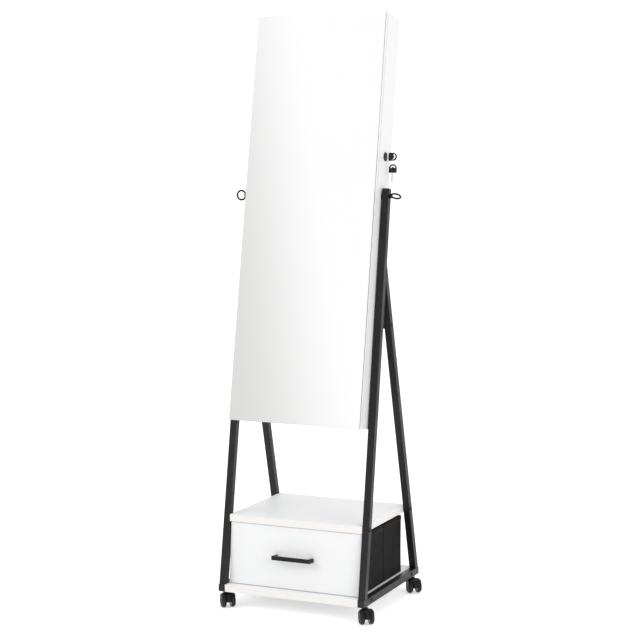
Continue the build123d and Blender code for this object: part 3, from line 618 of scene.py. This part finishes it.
def drawer_bin():
    """One closed shell of cloth. Rows go from the middle of the floor out, up the wall, over the hem and back down
    inside. The walls bow by a low sine, dip along creases, and thicken in the hem and in the corner seams."""
    low, high, hem = BIN_LOW, BOARD_TOP + BIN_HEIGHT, BIN_HEM
    rise = np.concatenate([np.linspace(low + 1.2, high - hem, 26), np.linspace(high - hem + 0.6, high - 1.0, 8)])
    inner_low = low + BIN_WALL
    inset = [200.0, 90.0, 20.0, 1.6, 0.5]
    height = [low, low, low, low, low + 0.5]
    inset += [0.0] * len(rise) + [0.5, 1.3, 2.2]
    height += list(rise) + [high - 0.2, high, high - 0.3]
    inset += [BIN_WALL] * len(rise) + [BIN_WALL + 1.0, 20.0, 90.0, 200.0]
    height += [max(z, inner_low + 0.6) for z in rise[::-1]] + [inner_low] * 4
    inset, height = np.array(inset), np.array(height)
    side = np.where(np.arange(len(inset)) <= 5 + len(rise) + 1, 1.0, -1.0)
    half = np.maximum(BIN_HALF - inset, 0.0)
    front = bin_front(height) + np.minimum(inset, 100.0)
    back = BIN_BACK - np.minimum(inset, 100.0)
    middle = (front + back) / 2
    shrunk = inset > 150
    front, back = np.where(shrunk, middle, front), np.where(shrunk, middle, back)
    half = np.where(shrunk, 0.0, half)
    corner = np.where(shrunk, 0.0, 4.0)[:, None]
    x, y = around(half, front, back, corner)
    z = np.broadcast_to(height[:, None], x.shape).copy()
    share = np.clip((z - low) / (high - low), 0, 1)
    wall = (inset <= BIN_WALL)[:, None]
    on_side = wall * np.clip((np.abs(x) - (BIN_HALF - 9)) / 4, 0, 1)
    on_back = wall * np.clip((y - (BIN_BACK - 9)) / 4, 0, 1)
    slack = np.sin(pi * share) * (1 - 0.75 * np.clip((z - (high - hem)) / 3, 0, 1))
    length = (y - front[:, None]) / np.maximum(back - front, 1)[:, None]
    bow = -1.5 * np.sin(pi * length) * slack + 0.5 * np.sin(5.2 * pi * length + 0.7) * np.sin(1.4 * pi * share)
    crease = 1.9 * bell(y, -2.2, 2.6) + 0.9 * bell(y, -16.0, 2.4)
    crease += 0.45 * bell(y, 58.0, 5.0)
    hem_fold = 0.5 * np.clip((z - (high - hem)) / 0.8, 0, 1) * np.clip(side, 0, 1)[:, None]
    stitch = -0.35 * bell(z, high - hem + 2.5, 0.9) * np.clip(side, 0, 1)[:, None]
    seam = bell(length, 0.012, 0.008) + bell(length, 0.988, 0.008)
    seam = seam * np.clip(side, 0, 1)[:, None] * 0.5
    move = bow - crease * (0.55 + 0.45 * np.sin(pi * share)) + hem_fold + stitch + seam
    x = x + np.sign(x) * on_side * move
    width = x / BIN_HALF
    back_move = -1.2 * np.sin(pi * (width + 1) / 2) * slack - 0.8 * bell(x, 0.0, 3.5)
    back_move = back_move + hem_fold + stitch
    y = y + on_back * back_move
    points = np.stack([x, y, z], axis=-1)
    walked = np.cumsum(np.linalg.norm(np.diff(points[12], axis=0, prepend=points[12][:1]), axis=1))
    climbed = np.cumsum(np.abs(np.diff(inset, prepend=inset[0])) + np.abs(np.diff(height, prepend=height[0])))
    uv = stacked(walked[None, :], climbed[:, None])
    new_piece(
        "drawer_bin_cloth", grid(points, wrap_columns=True), "drawer", bin_cloth,
        stands_for=("drawer_bin",), sharp=60.0, uv=uv,
    )


def hem_stitches():
    """A row of short thread loops below the hem, outside, each a flattened half ring."""
    height = BOARD_TOP + BIN_HEIGHT - BIN_HEM + 2.5
    front = float(bin_front(height))
    pitch, length, thick = 4.2, 2.9, 0.35
    runs = []
    for sign in (-1, 1):
        steps = np.arange(front + 10, BIN_BACK - 10, pitch)
        bow = -1.5 * np.sin(pi * (steps - front) / (BIN_BACK - front)) * 0.25
        dip = 1.1 * bell(steps, -2.2, 3.0) * 0.5
        row = np.stack([sign * (BIN_HALF + bow - dip), steps, np.full_like(steps, height)], -1)
        runs.append((row, (0, 1, 0), (sign, 0, 0)))
    steps = np.arange(-BIN_HALF + 10, BIN_HALF - 10, pitch)
    bow = -0.3 * np.sin(pi * (steps / BIN_HALF + 1) / 2)
    row = np.stack([steps, BIN_BACK + bow, np.full_like(steps, height)], -1)
    runs.append((row, (1, 0, 0), (0, 1, 0)))
    t = np.linspace(-1, 1, 6)
    ring = np.linspace(0, 2 * pi, 6, endpoint=False)
    parts = []
    for places, along, out in runs:
        along, out = np.array(along, float), np.array(out, float)
        up = np.array([0, 0, 1.0])
        shape = np.sqrt(np.clip(1 - t**2, 0, 1))[:, None]
        loop = t[:, None, None] * length / 2 * along
        loop = loop + (0.25 + thick * shape * np.cos(ring))[..., None] * out
        loop = loop + (thick * shape * np.sin(ring))[..., None] * up
        for place in places:
            parts.append(grid(place + loop, wrap_columns=True))
    new_piece("bin_stitches", joined(parts), "drawer", bin_thread, sharp=80.0)


def bin_floor():
    """The stiff board in the bin, wrapped in the same cloth: a flat pad with round corners and a soft edge."""
    low = BIN_LOW + BIN_WALL + 0.3
    front = float(bin_front(low)) + BIN_WALL + 2.0
    back, half = BIN_BACK - BIN_WALL - 2.0, BIN_HALF - BIN_WALL - 2.0
    inset = np.array([200, 120, 40, 1.0, 0.2, 0.0, 0.2, 1.0, 40, 120, 200.0])
    height = low + np.array([0, 0, 0, 0, 0.4, 1.2, 2.1, 2.5, 2.5, 2.5, 2.5])
    middle = (front + back) / 2
    shrunk = inset > 150
    fronts = np.where(shrunk, middle, front + inset)
    backs = np.where(shrunk, middle, back - inset)
    halves = np.where(shrunk, 0, half - inset)
    x, y = around(halves, fronts, backs, np.where(shrunk, 0.0, 5.0)[:, None])
    points = np.stack([x, y, np.broadcast_to(height[:, None], x.shape)], axis=-1)
    new_piece(
        "bin_floor_cloth", grid(points, wrap_columns=True), "drawer", bin_cloth,
        stands_for=("drawer_base",), sharp=60.0, uv=points[..., :2],
    )


# Inside of the cabinet
def ring_rolls():
    """Velvet rolls over foam. The section is a superellipse |a|^3.2 + |b|^3.2 = 1 with its back flattened, and it
    draws in towards the two gathered ends."""
    room = TRAY_HEIGHT - 2 * TRAY_WALL
    pitch = (room - ROLL_GAP) / ROLL_COUNT
    height = pitch - ROLL_GAP
    depth = TRAY_DEPTH - TRAY_FLOOR - ROLL_GAP
    half = TRAY_WIDTH / 2 - TRAY_WALL - ROLL_GAP
    u = np.linspace(-1, 1, 97)[:, None]
    a = np.linspace(0, 2 * pi, 40, endpoint=False)[None, :]
    power = 2 / 3.2
    side = np.sign(np.cos(a)) * np.abs(np.cos(a)) ** power
    rise = np.sign(np.sin(a)) * np.abs(np.sin(a)) ** power
    side = np.where(side > 0, side * 0.96, side)
    for i in range(ROLL_COUNT):
        middle = TRAY_BOTTOM + TRAY_WALL + ROLL_GAP + (i + 0.5) * pitch - ROLL_GAP / 2
        centre = LINING_FRONT - TRAY_FLOOR - ROLL_GAP / 2 - depth / 2
        shift = draws.uniform(0, 2 * pi, 3)
        full = 1 - 0.022 * (1 + np.sin(7 * pi * u + shift[0])) * 0.5
        full = full - 0.01 * (1 + np.sin(17 * pi * u + shift[1]))
        ends = np.clip((1 - np.abs(u)) / 0.016, 0, 1)
        round_end = np.sqrt(np.clip(1 - (1 - ends) ** 2, 0, 1))
        gather = 1 + 0.03 * np.sin(14 * a + shift[2]) * np.clip(1 - (1 - np.abs(u)) / 0.05, 0, 1)
        size = full * (0.12 + 0.88 * round_end) * gather
        size = size * np.clip((1 - np.abs(u)) / 1e-6, 0, 1)
        x = half * u * np.ones_like(a)
        points = on_case(x, centre + depth / 2 * side * size, middle + height / 2 * rise * size)
        round_length = np.linspace(0, 2 * (height + depth), a.size)[None, :]
        uv = stacked(x, round_length)
        roll = new_piece(
            f"ring_roll_{i + 1}", grid(points, wrap_columns=True), "case", roll_velvet,
            stands_for=("ring_rolls",), sharp=75.0, uv=uv,
        )


def lining():
    """The cloth glued to the back: a thin sheet that swells a little between its glue lines."""
    half, low, high = CABINET_WIDTH / 2 - PANEL - 0.3, PANEL + 0.3, CABINET_HEIGHT - PANEL - 0.3
    x = np.linspace(-half, half, 61)[None, :]
    z = np.linspace(low, high, 161)[:, None]
    edge = np.clip((half - np.abs(x)) / 8, 0, 1) * np.clip(np.minimum(z - low, high - z) / 8, 0, 1)
    puff = 0.35 * edge * (1 + np.sin(x / 23.0 + 0.8 * np.sin(z / 61.0)) * np.sin(z / 37.0 + 1.0)) / 2
    front = on_case(x, LINING_FRONT + 0.4 - puff, z)
    rear = on_case(x, LINING_FRONT + LINING_THICKNESS, z * np.ones_like(x))
    uv_one = stacked(x, z)
    rows, columns = front.shape[:2]
    faces = grid_faces(rows, columns)
    ring = np.concatenate([
        np.arange(columns), np.arange(1, rows) * columns + columns - 1,
        (rows - 1) * columns + np.arange(columns - 2, -1, -1), np.arange(rows - 2, 0, -1) * columns,
    ])
    after = np.roll(ring, -1)
    total = rows * columns
    rim = np.stack([ring, after, after + total, ring + total], axis=-1)
    points = np.concatenate([front.reshape(-1, 3), rear.reshape(-1, 3)])
    quads = np.concatenate([faces, faces[:, ::-1] + total, rim])
    uv = np.concatenate([uv_one.reshape(-1, 2)] * 2)
    made = new_piece(
        "back_lining_cloth", (points, quads), "case", lining_velvet, stands_for=("back_lining",), uv=uv,
    )


def screw_heads(name, places, outward, body, radius=2.6, material=None, upward=(0, 0, 1)):
    """Countersunk cross-head screws at the places, facing outward: a shallow dome with a cross pressed in."""
    outward = np.asarray(outward, float)
    side = np.cross(upward, outward)
    side /= np.linalg.norm(side)
    top = np.cross(outward, side)
    turn = np.stack([side, top, outward], axis=1)
    ring = np.linspace(0, 2 * pi, 48, endpoint=False)[None, :]
    share = np.array([0, 0.12, 0.24, 0.36, 0.48, 0.6, 0.72, 0.86, 1.0, 1.0])[:, None]
    x, y = radius * share * np.cos(ring), radius * share * np.sin(ring)
    dome = 0.5 * (1 - share**2) + 0.12
    dome = np.where(np.arange(10)[:, None] == 9, -0.4, dome)
    arm = np.minimum(np.abs(x), np.abs(y))
    cut = np.clip((0.55 - arm) / 0.3, 0, 1) * (share < 0.7) * 0.9
    head = stacked(x, y, dome - cut)
    parts = [grid(turned(head, turn, place), wrap_columns=True) for place in places]
    new_piece(name, joined(parts), body, material or steel, sharp=50.0)


# Lock and keys
def key_outline(steps=64):
    """The head's rim as X and Z: a half circle of radius 10.75 on a straight part with small round corners."""
    arch, straight, corner = KEY_ARCH, KEY_STRAIGHT, 1.6
    bend = np.linspace(-pi / 2, pi / 2, steps // 2)
    small = np.linspace(0, pi / 2, 7)
    arc = np.stack([arch * np.cos(bend), arch * np.sin(bend)], -1)
    top = np.stack([-straight + corner - corner * np.sin(small), arch - corner + corner * np.cos(small)], -1)
    return np.concatenate([arc, top, (top * [1, -1])[::-1]])


def slot_outline():
    """The crescent under the arch: from an outer arc of radius 7.2 back along an inner arc of radius 3.5."""
    bend = np.linspace(-pi / 2 + 0.1, pi / 2 - 0.1, 26)
    outer = np.stack([7.2 * np.cos(bend), 7.2 * np.sin(bend)], -1)
    inner = np.stack([3.5 * np.cos(bend), 3.5 * np.sin(bend)], -1)[::-1]
    return np.concatenate([outer, inner])


def key_head(name, place, body, stands_for):
    """A plate between the rim and the slot, with both of its arrises rounded all round."""
    work = bmesh.new()
    rim, hole = key_outline(), slot_outline()
    edges = []
    for loop in (rim, hole):
        made = [work.verts.new((x, 0.0, z)) for x, z in loop]
        edges += [work.edges.new((made[i], made[(i + 1) % len(made)])) for i in range(len(made))]
    bmesh.ops.triangle_fill(work, use_beauty=True, use_dissolve=False, edges=edges, normal=(0, 1, 0))
    mesh = bpy.data.meshes.new(name)
    work.to_mesh(mesh)
    work.free()
    points = np.zeros(len(mesh.vertices) * 3)
    mesh.vertices.foreach_get("co", points)
    moved = place(points.reshape(-1, 3)) * MM
    mesh.vertices.foreach_set("co", moved.reshape(-1))
    mesh.materials.append(key_plastic)
    piece = placed(name, mesh)
    solid = piece.modifiers.new("thickness", "SOLIDIFY")
    solid.thickness = 3.2 * MM
    solid.offset = 0.0
    bevel = piece.modifiers.new("rim", "BEVEL")
    bevel.width = 0.7 * MM
    bevel.segments = 3
    bevel.limit_method = "ANGLE"
    bevel.angle_limit = radians(50)
    bevel.harden_normals = True
    mesh.shade_smooth()
    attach(piece, body)
    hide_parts(*stands_for)


def key_blade(name, place, body):
    """A flat blade from the head's straight edge, with grooved sides, a plain back and a cut edge of notches."""
    start, length, width, thick = -KEY_STRAIGHT, 26.0, 7.6, 2.0
    u = np.linspace(0, 1, 90)
    x = start + 0.4 - u * (length + 0.4)
    out = np.clip((u * length - 8.5) / 0.8, 0, 1)
    notches = np.array([0.4, 1.5, 0.8, 1.9, 0.6, 1.3])
    spots = np.clip(((u * length - 9.0) / 2.6), 0, len(notches) - 1e-6)
    place_in = spots - np.floor(spots)
    depth = notches[np.floor(spots).astype(int)] * np.clip(1.5 - np.abs(place_in - 0.5) * 3.2, 0, 1) * out
    tip = np.clip((u - 0.93) / 0.07, 0, 1)
    high = width / 2 - tip * 2.4
    low = -(width / 2 - depth - tip * 2.4)
    v = np.array([0.0, 0.06, 0.3, 0.36, 0.52, 0.58, 0.94, 1.0])
    groove = np.array([0.75, 1.0, 1.0, 0.55, 0.55, 1.0, 1.0, 0.75])
    z = low[:, None] + (high - low)[:, None] * v[None, :]
    rows = []
    for sign, order in ((1, slice(None)), (-1, slice(None, None, -1))):
        y = sign * thick / 2 * groove * np.ones_like(z)
        rows.append(np.stack([x[:, None] * np.ones_like(z), y, z], -1)[:, order])
    points = place(capped(np.concatenate(rows, axis=1)))
    new_piece(name, grid(points, wrap_columns=True), body, nickel, sharp=30.0)


def key_in_lock(points):
    """The key lies along the lock's axis, its head outside."""
    return on_case(KEY_BOW_X + points[..., 0], LOCK_DEPTH + points[..., 1], LOCK_RISE + points[..., 2])


ring_x = KEY_BOW_X + RING_SEAT * sin(RING_SWAY)
ring_top = LOCK_RISE - RING_SEAT * cos(RING_SWAY)
spare_top = ring_top - 2 * RING_RADIUS


def key_on_ring(points):
    """Turned so that the blade hangs down: the key's X goes up."""
    across, up = -points[..., 2], points[..., 0]
    return on_case(ring_x + across, LOCK_DEPTH + points[..., 1], spare_top - RING_SEAT + up)


def split_ring():
    """Two turns of flattened wire side by side, one helix closed by its own ends."""
    turn = np.linspace(0, 4 * pi, 145)
    slide = 0.34 * np.tanh((turn - 2 * pi) * 2.2)
    path = np.stack([slide, RING_RADIUS * np.sin(turn), RING_RADIUS * np.cos(turn)], -1)
    section = circle(1.0, 10) * [RING_WIRE, 0.34]
    outward = np.stack([0 * turn, np.sin(turn), np.cos(turn)], -1)
    across = np.array([1.0, 0, 0])
    points = capped(path[:, None] + outward[:, None] * section[None, :, :1] + across * section[None, :, 1:])
    middle = ring_top - RING_RADIUS
    points = on_case(ring_x + points[..., 0], LOCK_DEPTH + points[..., 1], middle + points[..., 2])
    new_piece(
        "key_split_ring", grid(points, wrap_columns=True), "key_ring", nickel,
        stands_for=("key_ring",), sharp=60.0,
    )


# Casters
def caster_place(end):
    """Turn and stem of a caster, for shapes that have the stem at the origin and trail along X."""
    side = 1 if end.endswith("right") else -1
    back = 1 if end.startswith("back") else -1
    return turn_z(radians(CASTER_HEADINGS[end]) - pi / 2), np.array([side * FRAME_MIDDLE, back * STEM_Y, 0.0])


def wheel_profile():
    """Radius and height of a wheel from its inner face to its outer face: tread, rim, dish and hub cap."""
    return np.array([
        (0.0, -6.0), (2.6, -6.0), (6.0, -6.0), (6.4, -5.6), (15.0, -5.6), (15.9, -5.9), (16.9, -5.2),
        (17.6, -3.8), (18.0, -1.4),
        (18.0, 0.2), (17.8, 1.8), (17.3, 3.2), (16.5, 4.4), (15.5, 5.4), (14.8, 5.8), (14.3, 5.9), (14.0, 5.5),
        (13.8, 4.6), (12.6, 4.3), (8.6, 4.5), (8.0, 4.8), (7.7, 5.4), (6.8, 5.8), (4.6, 5.9), (4.1, 5.6),
        (3.6, 5.1), (1.5, 5.05), (0.0, 5.05),
    ])


def caster_wheels(end):
    """The wheel's profile turned about the axle, once on each side of the web."""
    turn, stem = caster_place(end)
    parts = []
    for sign in (-1, 1):
        middle = np.array([CASTER_TRAIL, sign * (WEB_WIDTH / 2 + 0.5 + WHEEL_WIDTH / 2), WHEEL_RADIUS])
        points, quads = spun(wheel_profile(), 64)
        parts.append((turned(turned(points, turn_x(-sign * pi / 2), middle), turn, stem), quads))
    new_piece(
        "wheels_" + end + "_pair", joined(parts), "wheels_" + end, wheel_plastic,
        stands_for=("caster_wheels_" + end,), sharp=28.0,
    )


def caster_hood(end):
    """A doubly curved hood over both wheels, a web between them and a turned boss for the stem. The hood's outer
    radius about the axle falls as 21.7 - 4.4 |v|^5 towards its sides, and its lips close the shell."""
    theta = np.radians(np.linspace(50.0, 150.0, 44))[:, None]
    v = np.linspace(-1.0, 1.0, 33)[None, :]
    lip = np.clip(np.minimum(theta - theta[0], theta[-1] - theta) / 0.09, 0, 1)
    round_lip = np.sqrt(1 - (1 - lip) ** 2)
    outer = 19.3 - 2.0 * np.abs(v) ** 5 + 2.4 * (1 - np.abs(v) ** 5) * (0.35 + 0.65 * round_lip)
    inner = 19.2 - 2.6 * np.abs(v) ** 8 + 0 * theta
    width = 18.6 * (1 - 0.03 * (1 - round_lip))
    ring = np.concatenate([outer, inner[:, ::-1]], axis=1)
    across = np.concatenate([v, v[:, ::-1]], axis=1) * width
    x = CASTER_TRAIL + ring * np.cos(theta)
    z = WHEEL_RADIUS + ring * np.sin(theta)
    shell = np.stack([x, across + 0 * x, z], axis=-1)
    folded = (shell + shell[:, ::-1]) / 2
    parts = [grid(np.concatenate([folded[:1], shell, folded[-1:]]), wrap_columns=True)]
    arc, reach = np.radians(np.linspace(-4.0, 184.0, 60)), WHEEL_RADIUS + 1.6
    rim = np.stack([CASTER_TRAIL + reach * np.cos(arc), 0 * arc, WHEEL_RADIUS + reach * np.sin(arc)], -1)
    centre = np.array([CASTER_TRAIL, 0.0, WHEEL_RADIUS - 4.4])
    half = WEB_WIDTH / 2
    steps = [
        (0.0, -half), (0.9, -half), (0.97, -half + 0.4), (1.0, -half + 1.2),
        (1.0, half - 1.2), (0.97, half - 0.4), (0.9, half), (0.0, half),
    ]
    web = np.stack([centre + (rim - centre) * share + [0, side, 0] for share, side in steps])
    parts.append(grid(web, wrap_columns=True))
    boss = [
        (0.0, 25.0), (6.0, 25.0), (6.0, 27.5), (8.6, 34.5), (8.4, 37.5), (8.0, 39.0), (8.0, 40.7), (7.6, 41.3),
        (0.0, 41.3),
    ]
    parts.append(spun(boss, 40))
    points, quads = joined(parts)
    points = turned(points, *caster_place(end))
    new_piece(
        "caster_hood_" + end, (points, quads), "caster_" + end, hood_plastic,
        stands_for=("caster_housing_" + end,), sharp=38.0,
    )


# Bolts of the stand
def leg_y(z, rear):
    """Y of a leg's centre line at height z."""
    if rear:
        return LEG_BACK - HALF_TUBE / cos(REAR_LEAN) - (z - BOARD_TOP) * tan(REAR_LEAN)
    return LEG_FRONT + HALF_TUBE / cos(FRONT_LEAN) + (z - BOARD_TOP) * tan(FRONT_LEAN)


def frame_bolts():
    """Button heads with a hexagon socket, each on its shank. The socket's wall lies at apothem / cos of the angle
    from the middle of its flat, and the dome is a quarter ellipse."""
    a = np.linspace(0, 2 * pi, 72, endpoint=False)[None, :]
    flat = 2.0 / np.cos((a + pi / 6) % (pi / 3) - pi / 6)
    t = np.linspace(pi / 2 - 0.55, 0.0, 8)[:, None]
    dome = (BOLT_HEAD * np.cos(t), 0.6 + 1.9 * np.sin(t))
    head, shank = BOLT_HEAD + 0 * a, BOLT_SHANK + 0 * a
    radius = [0 * a, 0.4 * flat, flat, flat, flat + 0.25, *(dome[0] + 0 * a), head, shank, shank, 0 * a]
    height = [0.8, 0.8, 0.85, 2.2, 2.42, *dome[1].ravel(), 0.02, 0.02, -BOLT_REACH, -BOLT_REACH]
    radius = np.concatenate([np.atleast_2d(r) for r in radius])
    height = np.array(height)[:, None]
    places = [(-RAIL_BOLT_Y, RAIL_BOLT_Z), (RAIL_BOLT_Y, RAIL_BOLT_Z)]
    for z, rear in ((SHELF_BOLT_Z, False), (SHELF_BOLT_Z, True), (CROSSBAR_Z, True)):
        places.append((leg_y(z, rear), z))
    parts = []
    for side in (-1, 1):
        for y, z in places:
            spin = draws.uniform(0, pi / 3)
            points = stacked(
                side * (FRAME_OUTER + height), y + radius * np.cos(a + spin), z + radius * np.sin(a + spin)
            )
            parts.append(grid(points, wrap_columns=True))
    new_piece(
        "stand_bolts", joined(parts), "stand", bolt_coat, stands_for=("frame_bolts",), sharp=40.0,
    )


def small_screws():
    """Cross-head screws on the hinge leaves, the strike, the hook rail and the earring board's rails."""
    for name, depth, face, body in (("case", 16.4, -1, "case"), ("door", 16.0, 1, "door")):
        spots = [on_case(HINGE_LEAF_X, depth, z + up) for z in HINGE_HEIGHTS for up in (-18.0, 18.0)]
        screw_heads(name + "_leaf_screws", spots, np.array(case_in) * face, body, radius=2.2, upward=case_up)
    spots = [on_case(x, 82.9, 963.0) for x in (-140.0, -20.0, 20.0, 140.0)]
    screw_heads("rail_screws", spots, -np.array(case_in), "case", radius=2.4, upward=case_up)
    spots = [on_case(x, 27.5, z) for x in (-130.0, 130.0) for z in (632.0, 780.0, 928.0)]
    screw_heads("earring_screws", spots, case_in, "door", radius=2.2, upward=case_up)


def door_bumpers():
    """Clear domes on the case's front edge that the door closes on."""
    t = np.linspace(0, pi / 2, 8)
    profile = np.stack([4.0 * np.sin(t), 1.7 * np.cos(t)], -1)
    profile = np.concatenate([profile, [(4.0, -0.05), (0.0, -0.05)]])
    points, quads = spun(profile, 28)
    outward = -np.array(case_in)
    turn = np.stack([np.array([1.0, 0, 0]), np.cross(outward, [1.0, 0, 0]), outward], axis=1)
    places = [on_case(182.0, 17.4, z) for z in (24.0, 1072.0)]
    parts = [(turned(points, turn, place), quads) for place in places]
    new_piece("door_bumpers", joined(parts), "case", bumper_gel, sharp=50.0)


drawer_bin()
hem_stitches()
bin_floor()
ring_rolls()
lining()
key_head("lock_key_head", key_in_lock, "lock", ("lock_key",))
key_blade("lock_key_blade", key_in_lock, "lock")
key_head("spare_key_head", key_on_ring, "spare_key", ("spare_key",))
key_blade("spare_key_blade", key_on_ring, "spare_key")
split_ring()
frame_bolts()
small_screws()
door_bumpers()
softened("drawer_handle", "drawer", handle_coat, 0.5)
for end in CASTER_HEADINGS:
    caster_wheels(end)
    caster_hood(end)


# Studio
def floor_and_light():
    """A white floor that bends up into a backdrop, big soft lamps and a pale world."""
    half, front, back, bend, wall = 9.0, -9.0, 3.2, 1.6, 7.0
    a = np.linspace(0, pi / 2, 24)
    line = np.concatenate([
        [(front, 0.0)], np.stack([back + bend * np.sin(a), bend - bend * np.cos(a)], -1), [(back + bend, wall)],
    ])
    x = np.array([-half, half])
    points = stacked(x[None, :], line[:, :1], line[:, 1:])
    mesh = bpy.data.meshes.new("studio_floor")
    mesh.from_pydata(points.reshape(-1, 3).tolist(), [], grid_faces(*points.shape[:2]).tolist())
    mesh.shade_smooth()
    floor = placed("studio_floor", mesh)
    paper, tree = blank_material("White paper")
    matt = put(tree, "ShaderNodeBsdfDiffuse", {"Color": (0.93, 0.93, 0.93, 1.0)})
    lift = put(tree, "ShaderNodeEmission", {"Color": (1.0, 1.0, 1.0, 1.0)})
    seen = put(tree, "ShaderNodeLightPath")
    shown = math_node(tree, "MAXIMUM", seen.outputs["Is Camera Ray"], seen.outputs["Is Glossy Ray"])
    tree.links.new(math_node(tree, "MULTIPLY", shown, 0.46), lift.inputs["Strength"])
    both = put(tree, "ShaderNodeAddShader")
    tree.links.new(matt.outputs["BSDF"], both.inputs[0])
    tree.links.new(lift.outputs["Emission"], both.inputs[1])
    end = put(tree, "ShaderNodeOutputMaterial")
    tree.links.new(both.outputs["Shader"], end.inputs["Surface"])
    mesh.materials.append(paper)

    world = bpy.data.worlds.new("studio")
    bpy.context.scene.world = world
    world.use_nodes = True
    tree = world.node_tree
    sky = tree.nodes["Background"]
    sky.inputs["Color"].default_value = (1.0, 1.0, 1.0, 1.0)
    rays = put(tree, "ShaderNodeLightPath")
    bright = math_node(tree, "MAXIMUM", rays.outputs["Is Camera Ray"], rays.outputs["Is Glossy Ray"])
    bright = math_node(tree, "MAXIMUM", bright, rays.outputs["Is Transmission Ray"])
    tree.links.new(math_node(tree, "MULTIPLY_ADD", bright, 0.4, 0.6), sky.inputs["Strength"])
    studio_card()

    def lamp(name, place, aim, size, power):
        data = bpy.data.lights.new(name, "AREA")
        data.shape = "RECTANGLE"
        data.size, data.size_y = size
        data.energy = power
        made = placed(name, data)
        made.location = place
        made.visible_glossy = False
        made.rotation_euler = (Vector(aim) - Vector(place)).to_track_quat("-Z", "Y").to_euler()

    lamp("key", (-2.6, -3.4, 3.0), (0, 0, 0.8), (2.4, 2.4), 57.0)
    lamp("fill", (3.4, -2.0, 2.0), (0, 0, 0.8), (2.0, 3.0), 54.0)
    lamp("top", (0.2, 0.2, 4.2), (0, 0, 0.4), (3.0, 3.0), 44.0)


def studio_card():
    """A tall card far in front of the mirror, shaded from pale grey to white across, as the studio was."""
    x, z = np.array([-7.5, -1.5]), np.array([0.0, 9.0])
    points = stacked(x[None, :], -8.9, z[:, None])
    mesh = bpy.data.meshes.new("studio_card")
    mesh.from_pydata(points.reshape(-1, 3).tolist(), [], grid_faces(2, 2).tolist())
    card = placed("studio_card", mesh)
    paint, tree = blank_material("Shaded card")
    at = put(tree, "ShaderNodeSeparateXYZ", {"Vector": put(tree, "ShaderNodeTexCoord").outputs["Object"]})
    slope = math_node(tree, "MULTIPLY_ADD", at.outputs["Z"], 0.3, at.outputs["X"])
    share = mapped(tree, slope, -4.15, -2.9)
    share.node.interpolation_type = "SMOOTHSTEP"
    shade = put(tree, "ShaderNodeMix", {"Factor": share}, data_type="RGBA")
    shade.inputs[6].default_value = (0.775, 0.778, 0.765, 1.0)
    shade.inputs[7].default_value = (1.06, 1.06, 1.06, 1.0)
    glow = put(tree, "ShaderNodeEmission", {"Color": shade.outputs[2], "Strength": 1.0})
    end = put(tree, "ShaderNodeOutputMaterial")
    tree.links.new(glow.outputs["Emission"], end.inputs["Surface"])
    mesh.materials.append(paint)
    card.visible_diffuse = False
    card.visible_camera = False
    card.visible_shadow = False


def camera():
    """The photograph's view, from the camera that was fitted to its straight edges."""
    pixels, centre_x, centre_y, focal = 640, 317.65, 215.31, 1638.66
    yaw, pitch, roll = radians(24.598), radians(-2.081), 0.004
    turn = turn_z(yaw) @ turn_x(pitch) @ turn_y(roll)
    right, ahead, up = turn[:, 0], turn[:, 1], turn[:, 2]
    data = bpy.data.cameras.new("photo_view")
    data.sensor_width = 36.0
    data.lens = focal / pixels * data.sensor_width
    data.shift_x = (pixels / 2 - centre_x) / pixels
    data.shift_y = (centre_y - pixels / 2) / pixels
    data.clip_end = 60.0
    made = placed("photo_view", data)
    matrix = Matrix.Identity(4)
    for i in range(3):
        matrix[i][0], matrix[i][1], matrix[i][2] = right[i], up[i], -ahead[i]
    matrix.translation = Vector((1.8285, -4.0039, 1.1983))
    made.matrix_world = matrix
    bpy.context.scene.camera = made


floor_and_light()
camera()
bpy.context.scene.view_settings.view_transform = "Standard"
